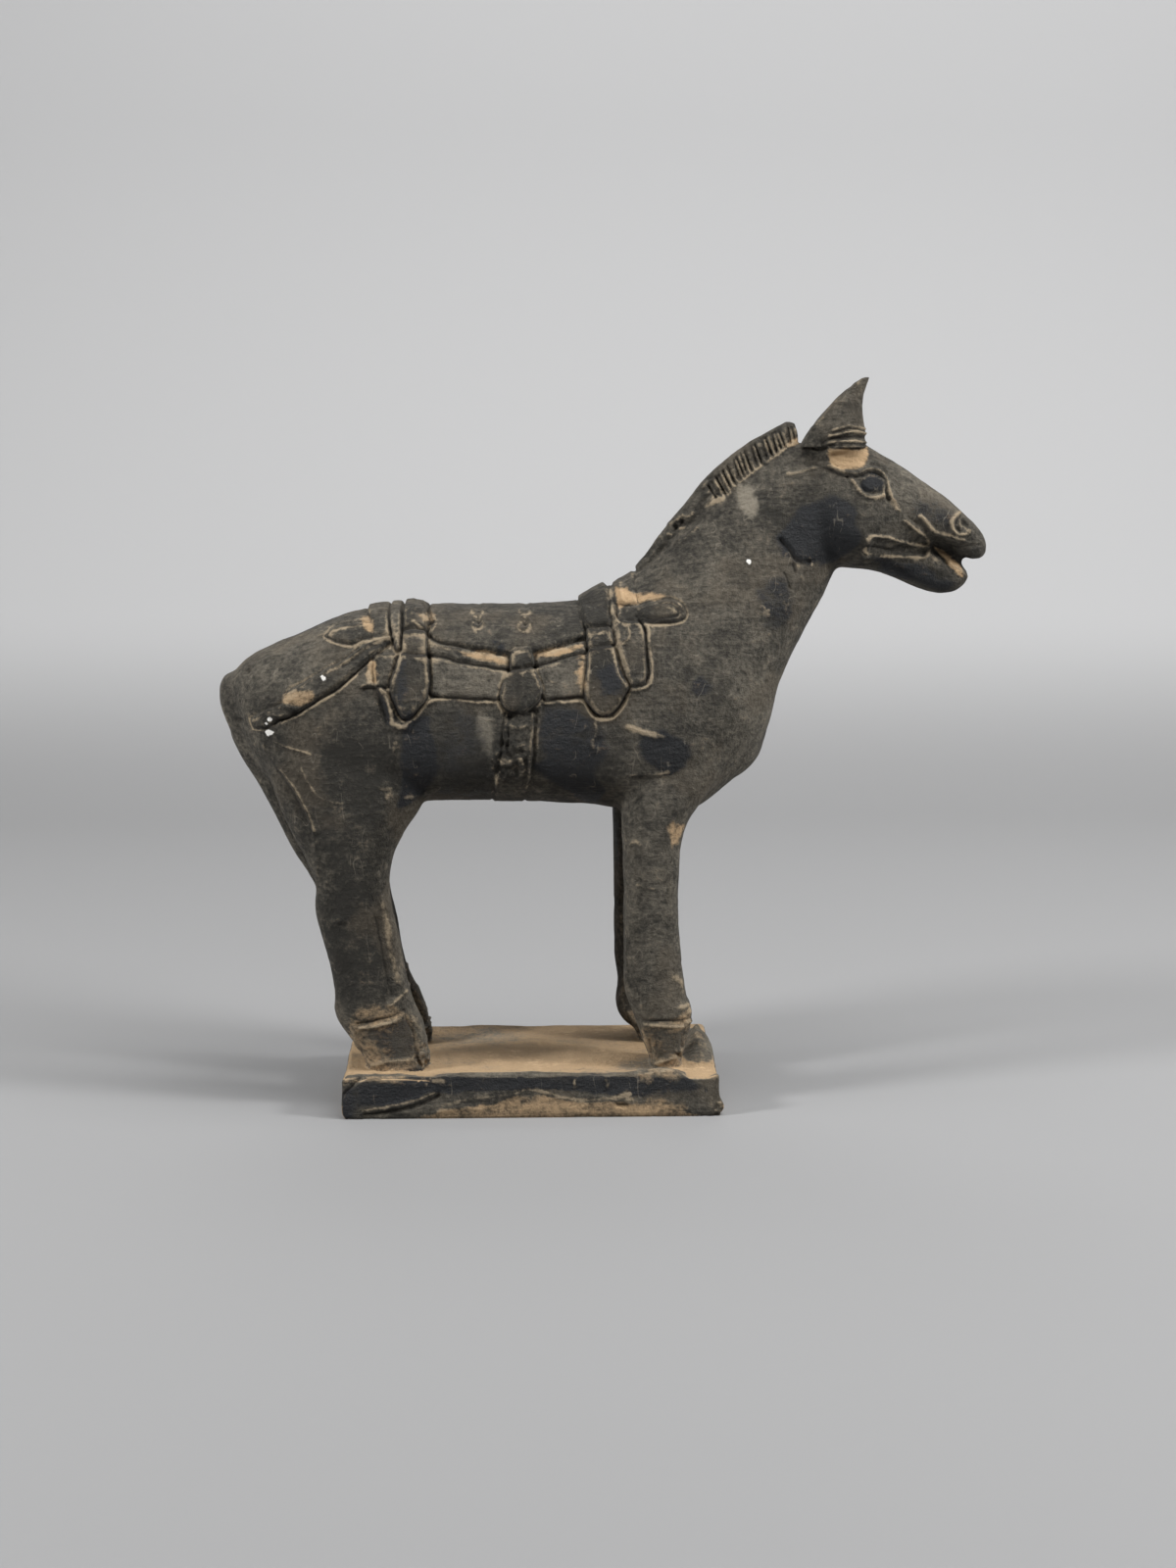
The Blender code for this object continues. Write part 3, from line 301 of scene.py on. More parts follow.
# Raised lines: name, height as a share of the relief's depth, half width, dust, marks
RIDGES = [
    ("strap F", 0.95, 1.15, 0.9, [(623, 595), (624, 616), (627, 636), (631, 654), (636, 674), (641, 692),
        (644, 701)]),
    ("collar strip", 0.5, 0.8, 0.5, [(633, 595), (634, 608), (636, 614)]),
    ("front cloth outer", 0.7, 0.75, 0.95, [(656, 634), (661, 641), (663, 664), (666, 685), (664, 698),
        (656, 702), (645, 705)]),
    ("front cloth inner curl", 0.5, 0.7, 0.8, [(638, 637), (642, 645), (641, 653), (633, 658)]),
    ("rear rib", 0.8, 0.95, 1.0, [(389, 704), (395, 718), (399, 731), (400, 739), (406, 741),
        (414, 743)]),
    ("rear rib 2", 0.45, 0.75, 0.8, [(414, 740), (424, 733), (433, 722), (439, 716)]),
    ("rear rib top", 0.5, 0.7, 0.7, [(369, 700), (377, 698), (385, 702), (392, 706)]),
    ("tan strip", 0.35, 1.2, 0.9, [(378, 676), (377, 685), (377, 697)]),
    ("cloth hem rear", 0.45, 0.65, 0.85, [(437, 718), (446, 714), (468, 714), (484, 716), (505, 717)]),
    ("cloth hem front", 0.45, 0.65, 0.85, [(556, 718), (575, 717), (593, 716), (598, 719), (605, 731),
        (615, 735), (625, 734), (632, 727), (637, 719), (643, 708)]),
    ("pendant rim left", 0.35, 0.6, 0.9, [(519, 687), (511, 695), (508, 708), (508, 718), (512, 727)]),
    ("pendant keel", 0.3, 1.0, 0.2, [(532, 688), (531, 702), (531, 718)]),
    ("girth edge left", 0.45, 0.6, 0.75, [(516, 731), (516, 748), (514, 764), (507, 769), (503, 774)]),
    ("girth edge right", 0.45, 0.6, 0.7, [(544, 728), (542, 753), (541, 774), (538, 804)]),
    ("girth edge far right", 0.3, 0.6, 0.55, [(551, 723), (549, 748), (547, 779)]),
    ("girth crumb 1", 0.5, 1.0, 0.8, [(501, 775), (506, 780), (503, 784)]),
    ("girth crumb 2", 0.5, 1.0, 0.7, [(510, 776), (516, 780), (522, 778)]),
    ("girth crumb 3", 0.4, 0.9, 0.6, [(519, 739), (528, 743), (535, 741)]),
    ("girth crumb 4", 0.4, 0.9, 0.6, [(506, 792), (507, 802)]),
    ("girth crumb 5", 0.4, 0.8, 0.5, [(522, 759), (529, 762), (535, 760)]),
    ("flank rib", 0.35, 0.9, 0.6, [(608, 738), (607, 751), (604, 756), (606, 764)]),
    ("flank arc", 0.25, 0.6, 0.4, [(598, 742), (591, 750), (589, 759)]),
    ("shoulder line", 0.3, 0.7, 0.5, [(644, 791), (656, 790), (672, 790), (683, 787)]),
    ("seat rear slit", 0.35, 0.6, 0.8, [(440, 629), (444, 633), (444, 638), (440, 642)]),
    ("cloth arc", 0.3, 0.5, 0.7, [(557, 685), (558, 690), (562, 695), (568, 696)]),
    ("leaf under rim", 0.45, 0.6, 0.9, [(334, 653), (345, 658), (361, 660), (371, 656), (388, 651),
        (400, 649)]),
    ("crupper inner rim", 0.4, 0.6, 0.9, [(399, 652), (385, 656), (371, 663), (350, 679), (334, 687)]),
    ("crupper lower rim", 0.5, 0.6, 0.8, [(275, 741), (294, 734), (308, 728), (318, 722), (330, 714),
        (345, 706)]),
    ("crupper lower rim b", 0.35, 0.6, 0.6, [(345, 706), (362, 690), (377, 677), (388, 668)]),
    ("crupper roll 1", 0.55, 0.8, 0.2, [(294, 722), (307, 725), (316, 719)]),
    ("crupper roll 2", 0.55, 0.8, 0.2, [(274, 726), (283, 731), (296, 730)]),
    ("crupper leaf", 0.45, 2.1, 0.6, [(294, 715), (303, 710), (316, 708)]),
    ("tail crease", 0.5, 0.8, 0.65, [(269, 760), (275, 773), (289, 789), (300, 804), (308, 818),
        (316, 834), (321, 849)]),
    ("tail crease low", 0.3, 0.8, 0.3, [(321, 849), (323, 866), (324, 889), (323, 905)]),
    ("thigh scratch", 0.25, 0.5, 0.8, [(280, 757), (291, 762), (305, 766), (317, 770)]),
    ("thigh arc", 0.22, 0.6, 0.5, [(308, 784), (314, 798), (323, 810), (335, 818), (349, 820)]),
    ("croup line", 0.18, 0.5, 0.3, [(245, 690), (252, 683), (261, 677), (273, 672), (289, 669)]),
    ("stifle ridge", 0.25, 1.2, 0.5, [(378, 803), (390, 804), (398, 806), (396, 814)]),
    ("stifle ridge 2", 0.25, 0.9, 0.5, [(404, 758), (401, 770), (398, 784)]),
    ("belly edge ridge", 0.3, 0.9, 0.5, [(415, 814), (428, 812), (438, 808)]),
    ("upper lid", 0.8, 0.75, 1.0, [(847, 476), (855, 480), (863, 483), (870, 484), (878, 483), (884, 480),
        (894, 479), (900, 482), (904, 489), (907, 498), (909, 506), (910, 510)]),
    ("brow", 0.40, 0.8, 0.45, [(802, 484), (813, 483), (825, 479), (835, 477), (846, 477)]),
    ("lid fold", 0.25, 0.5, 0.3, [(886, 473), (894, 471), (902, 475), (907, 484), (911, 493)]),
    ("eye rim lower", 0.65, 0.75, 1.0, [(869, 488), (872, 493), (875, 498), (880, 505), (888, 508),
        (896, 508), (902, 506)]),
    ("eye rim upper", 0.6, 0.60, 1.0, [(879, 489), (886, 485), (894, 486), (899, 488), (903, 493),
        (903, 498), (902, 506)]),
    ("tear", 0.35, 1.0, 0.9, [(909, 509), (911, 515), (918, 522)]),
    ("ear fold 1", 0.50, 0.75, 0.70, [(849, 439), (861, 436), (874, 436), (883, 438)]),
    ("ear fold 2", 0.70, 0.65, 0.95, [(846, 446), (855, 443), (864, 441), (877, 441), (885, 443)]),
    ("ear fold 3", 0.50, 0.55, 0.80, [(843, 452), (858, 450), (874, 451), (886, 452)]),
    ("ear fold 4", 0.45, 0.55, 0.75, [(847, 457), (864, 456), (885, 456)]),
    ("brow step", 0.30, 0.70, 0.30, [(847, 465), (852, 473), (866, 477), (884, 475)]),
    ("brow step 2", 0.22, 0.60, 0.20, [(848, 461), (853, 467), (866, 470), (885, 468)]),
    ("shoulder chip", 0.40, 1.25, 1.25, [(640, 742), (650, 745), (658, 748), (667, 750), (676, 752)]),
    ("lock 1", 0.60, 0.90, 0.75, [(684, 536), (693, 529), (707, 527)]),
    ("lock 2", 0.55, 0.90, 0.60, [(675, 549), (682, 553), (690, 552), (694, 547)]),
    ("lock 3", 0.60, 1.10, 0.95, [(719, 519), (727, 513), (737, 510)]),
    ("lock 4", 0.45, 0.90, 0.80, [(697, 552), (704, 545), (711, 538)]),
    ("lock 5", 0.40, 0.80, 0.50, [(662, 570), (670, 560), (677, 556)]),
    ("mane foot", 0.30, 0.80, 0.75, [(811, 452), (797, 461), (776, 476), (760, 488), (746, 497)]),
    ("ear back rim", 0.3, 0.8, 0.35, [(818, 448), (835, 430), (851, 410), (866, 394), (880, 387)]),
    ("ear tip smear", 0.2, 0.7, 0.9, [(870, 396), (875, 392)]),
    ("ear middle", -0.35, 2.2, 0.0, [(858, 415), (868, 405), (878, 398)]),
    ("nasal ridge", 0.65, 0.8, 1.0, [(939, 527), (946, 534), (952, 541), (962, 545), (972, 547),
        (983, 551)]),
    ("nasal ridge 2", 0.5, 0.8, 0.8, [(923, 532), (934, 540), (943, 547), (948, 554)]),
    ("nostril rim", 0.6, 0.8, 0.9, [(979, 523), (974, 527), (971, 533), (974, 541), (981, 545),
        (989, 544)]),
    ("nostril wing", 0.4, 0.6, 0.7, [(981, 532), (986, 539), (990, 541)]),
    ("upper lip", 0.3, 1.0, 0.3, [(967, 561), (979, 566), (994, 567), (1001, 566)]),
    ("cheek bar top", 0.7, 0.85, 0.95, [(886, 551), (891, 547), (899, 547), (913, 550), (929, 555),
        (946, 558)]),
    ("cheek bar end", 0.55, 0.85, 0.85, [(886, 551), (886, 557), (882, 561), (883, 565)]),
    ("cheek bar bottom", 0.7, 0.85, 1.0, [(883, 565), (896, 568), (913, 568), (929, 569), (943, 570)]),
    ("mouth corner", 0.55, 1.0, 0.9, [(947, 556), (949, 561), (946, 567)]),
    ("bit lump", 0.65, 1.2, 0.5, [(951, 576), (956, 581), (962, 581)]),
    ("bit lump 2", 0.55, 1.0, 0.6, [(946, 568), (954, 571), (960, 574)]),
    ("lower lip", 0.45, 0.8, 0.7, [(961, 566), (969, 574), (979, 581), (985, 588)]),
    ("jaw light line", 0.25, 0.5, 0.6, [(826, 569), (828, 572), (829, 577)]),
    ("hind chamfer", 0.35, 1.6, 0.5, [(391, 923), (396, 952), (401, 979), (407, 1005)]),
    ("hind front ridge", 0.65, 0.9, 0.95, [(399, 1025), (407, 1018), (415, 1011)]),
    ("hind toe strip", 0.55, 1.4, 0.6, [(422, 1038), (428, 1051), (431, 1067), (433, 1080)]),
    ("hind toe lumps", 0.6, 0.9, 0.8, [(429, 1076), (430, 1087), (439, 1089), (439, 1080)]),
    ("hind heel line", 0.45, 0.9, 0.6, [(361, 1049), (364, 1067), (371, 1084), (375, 1092)]),
    ("hind hoof top", 0.4, 0.8, 0.8, [(367, 1049), (380, 1048), (396, 1044), (413, 1037)]),
    ("hind hoof foot", 0.35, 1.0, 0.9, [(380, 1087), (399, 1083), (422, 1082)]),
    ("fore toe bump", 0.8, 1.2, 0.8, [(696, 1028), (703, 1025), (704, 1030)]),
    ("fore toe bump 2", 0.6, 1.2, 0.8, [(703, 1041), (708, 1043), (708, 1048)]),
    ("fore hoof top", 0.35, 0.8, 0.7, [(658, 1046), (680, 1047), (700, 1046)]),
    ("fore hoof foot", 0.45, 1.0, 0.9, [(667, 1085), (680, 1082), (693, 1076)]),
    ("fore toe lump", 0.6, 0.9, 0.7, [(690, 1072), (694, 1071)]),
    ("fore heel", 0.45, 1.0, 0.6, [(637, 1028), (648, 1043), (654, 1061), (663, 1081)]),
    ("fore back edge", 0.25, 0.9, 0.4, [(633, 837), (636, 882), (637, 939), (636, 990), (634, 1018)]),
    ("fore scratch", 0.25, 0.5, 0.6, [(650, 903), (657, 906), (667, 907)]),
    ("knee mark", 0.25, 0.8, 0.6, [(642, 861), (648, 858), (652, 862)]),
    ("fore fetlock", 0.3, 1.4, 0.5, [(688, 997), (695, 1002), (699, 1013)]),
]
# Cut lines: name, depth as a share of the relief's depth, half width, darkness of the painted shade in the
# cut, marks
CUTS = [
    ("seat edge rear", 0.55, 0.55, 1.0, [(438, 648), (442, 653), (450, 657), (468, 660), (493, 664),
        (520, 668)]),
    ("seat edge front", 0.55, 0.55, 1.0, [(544, 668), (557, 663), (575, 658), (596, 652)]),
    ("strap foot rear", 0.5, 0.55, 1.0, [(436, 670), (450, 670), (468, 676), (493, 680), (519, 684)]),
    ("strap foot front", 0.5, 0.55, 1.0, [(545, 681), (557, 677), (577, 671), (598, 666)]),
    ("cloth foot rear", 0.55, 0.6, 1.0, [(439, 710), (455, 712), (483, 713), (506, 714)]),
    ("cloth foot front", 0.5, 0.6, 1.0, [(556, 714), (575, 713), (595, 712), (601, 719), (608, 728),
        (616, 732), (623, 731), (631, 724), (637, 714)]),
    ("buckle line", 0.45, 0.45, 0.9, [(519, 684), (533, 684), (546, 681)]),
    ("buckle sides", 0.45, 0.45, 0.8, [(521, 667), (520, 682)]),
    ("buckle sides 2", 0.45, 0.45, 0.8, [(543, 667), (546, 680)]),
    ("tongue side", 0.4, 0.5, 0.8, [(436, 669), (437, 690), (438, 709)]),
    ("front cloth edge", 0.5, 0.5, 1.0, [(650, 630), (657, 640), (660, 664), (660, 697), (645, 701)]),
    ("front tongue side", 0.35, 0.5, 0.6, [(599, 664), (598, 687), (596, 710)]),
    ("pendant pit", 1.6, 1.6, 1.0, [(521, 731), (526, 730)]),
    ("pendant pit 2", 0.9, 1.0, 1.0, [(531, 733), (536, 731), (544, 727)]),
    ("girth inner", 0.4, 0.8, 0.8, [(518, 733), (518, 748), (519, 761)]),
    ("girth inner 2", 0.35, 0.6, 0.6, [(536, 774), (537, 789), (536, 802)]),
    ("girth crumb pit", 0.5, 0.9, 0.8, [(514, 759), (519, 762)]),
    ("girth crumb pit 2", 0.4, 0.9, 0.7, [(507, 782), (516, 784), (524, 782)]),
    ("girth crumb pit 3", 0.4, 0.9, 0.6, [(519, 797), (529, 798)]),
    ("croup leaf slit", 0.4, 0.5, 0.9, [(342, 640), (353, 636), (375, 635)]),
    ("croup leaf tip", 0.35, 0.5, 0.9, [(333, 650), (346, 656), (361, 657), (369, 653)]),
    ("band gap 1", 0.5, 0.5, 0.9, [(398, 612), (397, 631), (398, 644), (401, 656), (404, 662)]),
    ("band gap 2", 0.5, 0.5, 0.9, [(412, 613), (410, 631), (410, 644), (409, 657)]),
    ("crupper cut", 0.55, 0.6, 1.0, [(399, 655), (385, 661), (374, 665), (361, 675), (350, 681)]),
    ("crupper cut low", 0.75, 0.7, 1.0, [(398, 657), (385, 667), (374, 677), (361, 688), (343, 704),
        (330, 711), (318, 719), (307, 726), (294, 732), (280, 739)]),
    ("crupper roll gap", 0.6, 0.6, 1.0, [(288, 719), (280, 722), (291, 726), (302, 726)]),
    ("crupper roll gap 2", 0.6, 0.6, 1.0, [(270, 728), (275, 734), (288, 734)]),
    ("roll hole", 0.8, 0.8, 1.0, [(440, 624), (446, 624)]),
    ("roll hole 2", 0.9, 0.8, 1.0, [(437, 635), (441, 638), (442, 636)]),
    ("under rear buckle", 0.4, 0.5, 0.9, [(410, 668), (422, 670), (435, 670)]),
    ("roll line", 0.35, 0.45, 0.7, [(412, 646), (422, 645), (435, 646)]),
    ("roll line 2", 0.3, 0.45, 0.7, [(412, 654), (422, 653), (435, 654)]),
    ("small panel foot", 0.45, 0.6, 0.9, [(371, 703), (383, 703), (388, 700), (393, 702)]),
    ("rear rib shade", 0.7, 1.1, 1.0, [(385, 706), (389, 716), (392, 727), (395, 735)]),
    ("rear tongue shade", 0.35, 0.7, 0.9, [(399, 708), (404, 720), (414, 735), (428, 723)]),
    ("loop top", 0.35, 0.45, 0.8, [(633, 621), (650, 620), (669, 614), (683, 613), (694, 618),
        (697, 626)]),
    ("loop foot", 0.35, 0.45, 0.8, [(652, 634), (669, 635), (687, 635), (697, 631)]),
    ("tail shade", 0.45, 1.2, 0.8, [(273, 770), (285, 789), (297, 807), (305, 822), (314, 839)]),
    ("croup pit", 0.9, 0.8, 1.0, [(251, 685), (254, 683)]),
    ("croup pit 2", 0.9, 0.9, 1.0, [(243, 736), (246, 736)]),
    ("lid groove", 0.65, 0.6, 1.0, [(866, 487), (873, 487), (880, 485), (887, 482), (896, 483),
        (901, 488), (904, 496), (904, 505), (907, 510)]),
    ("brow cut", 0.45, 0.7, 0.9, [(823, 476), (830, 474), (836, 476), (846, 479), (856, 484),
        (866, 487)]),
    ("lid fold cut", 0.3, 0.45, 0.7, [(860, 477), (870, 478), (880, 476), (886, 475), (896, 475),
        (903, 480), (908, 489)]),
    ("ear hollow", 0.55, 0.75, 1.0, [(839, 452), (849, 448), (864, 446), (882, 447)]),
    ("ear hollow 2", 0.35, 0.50, 0.7, [(848, 443), (860, 438), (873, 438), (883, 440)]),
    ("ear hollow 3", 0.40, 0.50, 0.8, [(845, 455), (862, 453), (885, 454)]),
    ("mane slit", 0.45, 0.60, 0.9, [(688, 538), (702, 534), (713, 529), (717, 520)]),
    ("mane slit 2", 0.50, 0.60, 0.9, [(653, 582), (669, 567), (684, 554), (702, 541), (718, 528)]),
    ("mane slit 3", 0.40, 0.60, 0.8, [(658, 567), (665, 559), (673, 551)]),
    ("stroke 1", 0.50, 0.70, 1.0, [(719, 510), (724, 505)]),
    ("stroke 2", 0.50, 0.80, 1.0, [(727, 498), (732, 506)]),
    ("stroke 3", 0.55, 0.80, 1.0, [(733, 489), (739, 501)]),
    ("ear foot", 0.6, 0.7, 0.9, [(840, 455), (853, 457), (870, 458), (886, 458)]),
    ("jaw crease", 0.75, 0.9, 1.0, [(797, 551), (805, 561), (810, 569), (818, 574), (827, 574)]),
    ("jaw crease 2", 0.6, 0.9, 1.0, [(809, 576), (811, 583)]),
    ("throat crack", 0.4, 0.5, 0.8, [(800, 584), (803, 592), (806, 600)]),
    ("nostril", 1.5, 1.1, 1.0, [(983, 532), (986, 536)]),
    ("nostril swirl", 0.6, 0.6, 1.0, [(980, 526), (976, 531), (975, 538), (980, 543)]),
    ("nose slit", 0.35, 0.5, 0.7, [(928, 529), (936, 534)]),
    ("cheek bar groove", 0.55, 0.7, 1.0, [(887, 558), (896, 559), (913, 563), (929, 564), (943, 564)]),
    ("cheek bar over", 0.35, 0.5, 0.8, [(889, 543), (899, 544), (913, 548), (929, 553)]),
    ("mouth slit", 1.0, 0.9, 1.0, [(954, 557), (962, 560), (972, 564), (982, 569), (992, 571)]),
    ("mouth slit 2", 0.8, 0.8, 0.9, [(952, 559), (959, 566), (966, 573)]),
    ("lip line", 0.35, 0.6, 0.8, [(966, 555), (977, 558), (989, 557), (1001, 556)]),
    ("hind ring gap", 0.6, 0.6, 1.0, [(366, 1045), (377, 1044), (388, 1041), (401, 1037), (411, 1031)]),
    ("hind pit", 1.4, 1.2, 1.0, [(439, 1052), (443, 1052)]),
    ("hind pit 2", 0.9, 0.6, 1.0, [(427, 1074), (428, 1083), (430, 1087)]),
    ("hind pit 3", 0.9, 0.8, 1.0, [(436, 1088), (440, 1088)]),
    ("hind heel cut", 0.6, 0.6, 1.0, [(365, 1069), (369, 1080), (374, 1089)]),
    ("hind strip edge", 0.35, 0.6, 0.8, [(383, 937), (389, 967), (394, 994), (399, 1015)]),
    ("hind hoof edge", 0.4, 0.6, 0.8, [(413, 1037), (420, 1051), (423, 1063), (424, 1080)]),
    ("fore ring gap", 0.55, 0.6, 1.0, [(657, 1043), (680, 1042), (702, 1040)]),
    ("fore heel cut", 0.7, 0.7, 1.0, [(640, 1037), (648, 1053), (650, 1064)]),
    ("fore pit", 1.2, 0.9, 1.0, [(643, 1064), (647, 1064)]),
    ("fore toe cut", 0.6, 0.6, 1.0, [(700, 1048), (696, 1061), (695, 1069)]),
    ("fore toe pit", 0.8, 0.6, 1.0, [(691, 1076), (695, 1079)]),
    ("fore hoof cut", 0.45, 0.5, 0.9, [(662, 1061), (664, 1074), (667, 1085)]),
]
# The base's front face: name, rise or cut, half width, how dusty a rise is and how dark the painted shade in
# a cut is, marks
BASE_LINES = [
    ("crack's lip", 0.75, 0.85, 0.9, [(370, 1134), (386, 1132), (407, 1128), (426, 1123), (442, 1116)]),
    ("crack", -0.70, 0.80, 1.0, [(372, 1138), (390, 1136), (410, 1132), (430, 1127), (447, 1119)]),
    ("ledge", 0.55, 0.90, 0.9, [(524, 1117), (538, 1112), (555, 1115), (577, 1121), (593, 1123),
        (626, 1121), (643, 1116)]),
    ("ledge's foot", 0.35, 1.30, 0.5, [(455, 1128), (480, 1122), (505, 1120), (524, 1117)]),
    ("lump", 0.85, 1.30, 0.8, [(629, 1122), (636, 1119), (644, 1123)]),
    ("lump's pit", -0.60, 0.80, 1.0, [(630, 1127), (640, 1128)]),
    ("slit under the edge", -0.60, 0.60, 1.0, [(349, 1102), (372, 1101), (396, 1102), (441, 1103)]),
    ("slit under the edge, middle", -0.45, 0.60, 0.9, [(458, 1100), (500, 1099), (545, 1098),
        (590, 1097)]),
    ("flake", 0.90, 1.10, 1.0, [(444, 1104), (452, 1104)]),
    ("seam", 0.35, 0.80, 0.5, [(585, 1103), (587, 1112)]),
    ("seam, right", 0.30, 0.80, 0.4, [(619, 1102), (621, 1112)]),
    ("scrape", 0.30, 0.70, 0.5, [(446, 1135), (470, 1131), (492, 1132)]),
    ("scrape, right", 0.35, 0.80, 0.5, [(594, 1127), (612, 1129), (622, 1126)]),
]
# The worn front edge of the base's top, how far back it reaches in metres, and the share
# of the slab's height below which the wear has faded
BASE_EDGE = [
    (348, 1101), (373, 1099), (396, 1099), (444, 1099), (470, 1094), (560, 1094), (586, 1094), (611, 1097),
    (649, 1092), (675, 1089), (693, 1092), (703, 1099), (723, 1099), (733, 1095),
]
BASE_EDGE_REACH = 0.010
BASE_EDGE_FADE = 0.3
# The burr at the base's lower right corner: its place and its reach, in metres
BURR = (0.0665, -0.0335, 0.0030)
BURR_REACH = (0.0040, 0.0050, 0.0026)
BURR_RISE = 0.0020
# The mound of clay by the fore toes: its place, its reach along and across, its rise,
# the heights between which it grows out of the slab, and its lumps' share and size
MOUND = (0.0595, 0.0030)
MOUND_REACH = (0.0046, 0.0150)
MOUND_RISE = 0.0066
MOUND_FOOT = (0.0095, 0.0130)
MOUND_LUMPS = (0.25, 0.003)

# Patches of colour: kind, strength, softness of the edge in parts, outline's marks
PATCHES = [
    ("ochre_and_light", 1.00, 1.2, [(844, 458), (853, 458), (873, 460), (886, 458), (888, 463), (886, 470),
        (880, 475), (870, 477), (858, 477), (850, 473), (845, 466)]),
    ("ochre_and_light", 0.35, 1.4, [(907, 510), (911, 509), (918, 516), (920, 521), (913, 520)]),
    ("ochre_and_light", 1.00, 1.0, [(952, 556), (961, 561), (967, 564), (976, 571), (982, 576), (987, 587),
        (979, 582), (971, 576), (962, 569), (954, 562)]),
    ("ochre_and_light", 0.80, 1.0, [(371, 629), (379, 629), (379, 644), (373, 644)]),
    ("ochre_and_light", 0.72, 0.7, [(467, 661), (493, 665), (519, 670), (520, 682), (508, 676), (483, 668)]),
    ("ochre_and_light", 0.72, 0.7, [(544, 669), (570, 661), (596, 654), (596, 659), (570, 668), (552, 673),
        (545, 678)]),
    ("ochre_and_light", 0.95, 1.0, [(631, 595), (645, 605), (669, 608), (682, 610), (650, 616), (632, 617)]),
    ("ochre_and_light", 0.60, 1.2, [(290, 719), (292, 710), (302, 704), (318, 705), (319, 711), (307, 719)]),
    ("ochre_and_light", 0.80, 1.2, [(681, 844), (696, 844), (695, 862), (687, 864)]),
    ("ochre_and_light", 0.65, 0.8, [(592, 668), (598, 668), (596, 701), (590, 700)]),
    ("ochre_and_light", 0.80, 0.8, [(374, 675), (382, 675), (381, 697), (376, 697)]),
    ("ochre_and_light", 0.60, 0.9, [(425, 626), (434, 625), (443, 634), (443, 640), (434, 636)]),
    ("ochre_and_light", 0.60, 1.0, [(434, 612), (442, 620), (444, 630), (438, 628)]),
    ("ochre_and_light", 0.70, 1.2, [(800, 459), (812, 450), (818, 452), (812, 460)]),
    ("ochre_and_light", 0.42, 1.6, [(364, 1030), (404, 1022), (420, 1010), (432, 1030), (444, 1060), (444, 1092),
        (352, 1096), (356, 1062)]),
    ("ochre_and_light", 0.40, 1.6, [(640, 1030), (704, 1020), (716, 1050), (720, 1090), (650, 1090)]),
    ("ochre_and_light", 0.60, 1.6, [(338, 1110), (338, 1096), (345, 1096), (345, 1110)]),
    ("ochre_and_light", 0.62, 1.0, [(380, 1142), (440, 1135), (500, 1128), (524, 1120), (540, 1117), (577, 1125),
        (626, 1126), (650, 1128), (700, 1131), (736, 1130), (736, 1146), (380, 1146)]),
    ("soot", 1.00, 3.0, [(800, 540), (815, 520), (850, 506), (872, 520), (872, 556), (850, 574),
        (820, 572)]),
    ("soot", 0.90, 3.0, [(796, 545), (810, 540), (824, 560), (818, 572), (804, 565)]),
    ("soot", 1.30, 1.0, [(880, 487), (890, 484), (899, 488), (902, 496), (896, 503), (884, 502),
        (879, 495)]),
    ("soot", 0.42, 4.0, [(932, 512), (950, 512), (970, 525), (968, 538), (950, 534), (936, 524)]),
    ("soot", 0.36, 2.0, [(955, 552), (985, 560), (1003, 556), (1002, 568), (980, 570), (962, 562)]),
    ("soot", 0.70, 3.0, [(890, 572), (930, 578), (975, 592), (968, 602), (935, 596), (900, 584)]),
    ("soot", 0.50, 4.0, [(772, 600), (800, 590), (812, 620), (800, 640), (780, 640)]),
    ("soot", 1.15, 3.0, [(548, 782), (566, 779), (600, 786), (616, 808), (606, 818), (576, 806)]),
    ("soot", 0.62, 4.0, [(551, 722), (590, 726), (610, 740), (616, 776), (600, 790), (556, 784)]),
    ("soot", 1.00, 3.0, [(654, 750), (676, 744), (694, 754), (703, 772), (680, 786), (660, 772)]),
    ("soot", 0.95, 3.0, [(612, 688), (628, 680), (637, 696), (634, 708), (618, 710)]),
    ("soot", 1.00, 3.0, [(420, 729), (436, 732), (444, 770), (434, 806), (410, 822), (414, 780)]),
    ("soot", 0.70, 2.0, [(386, 702), (398, 720), (402, 744), (394, 740), (386, 718)]),
    ("soot", 0.75, 2.0, [(400, 706), (414, 724), (414, 738), (402, 724)]),
    ("soot", 0.35, 4.0, [(446, 722), (484, 724), (500, 770), (502, 812), (450, 812)]),
    ("soot", 0.60, 3.0, [(404, 690), (412, 676), (416, 700), (408, 716)]),
    ("soot", 0.70, 1.0, [(503, 655), (516, 655), (519, 664), (506, 662)]),
    ("soot", 0.60, 2.0, [(711, 696), (718, 691), (724, 700), (718, 710), (711, 706)]),
    ("soot", 0.50, 0.8, [(374, 1053), (386, 1048), (413, 1040), (422, 1063), (424, 1078), (396, 1082),
        (382, 1067)]),
    ("soot", 0.36, 0.8, [(660, 1049), (699, 1050), (695, 1069), (688, 1075), (667, 1080), (661, 1063)]),
    ("soot", 0.62, 3.0, [(346, 1104), (368, 1104), (366, 1142), (346, 1142)]),
    ("soot", 0.86, 2.0, [(368, 1104), (700, 1102), (720, 1112), (650, 1117), (600, 1116), (530, 1106),
        (430, 1118), (400, 1126), (366, 1128)]),
    ("film_and_light", 0.75, 0.8, [(752, 494), (765, 496), (774, 515), (770, 529), (762, 527), (754, 516)]),
    ("film_and_light", 0.45, 1.2, [(484, 730), (494, 724), (504, 745), (504, 768), (494, 766), (487, 748)]),
    ("film_and_light", 0.45, 2.0, [(600, 1010), (640, 1010), (640, 1040), (610, 1040)]),
    ("film_and_light", 0.20, 2.0, [(396, 915), (412, 950), (432, 1010), (446, 1056), (430, 1040), (410, 990),
        (398, 950)]),
]
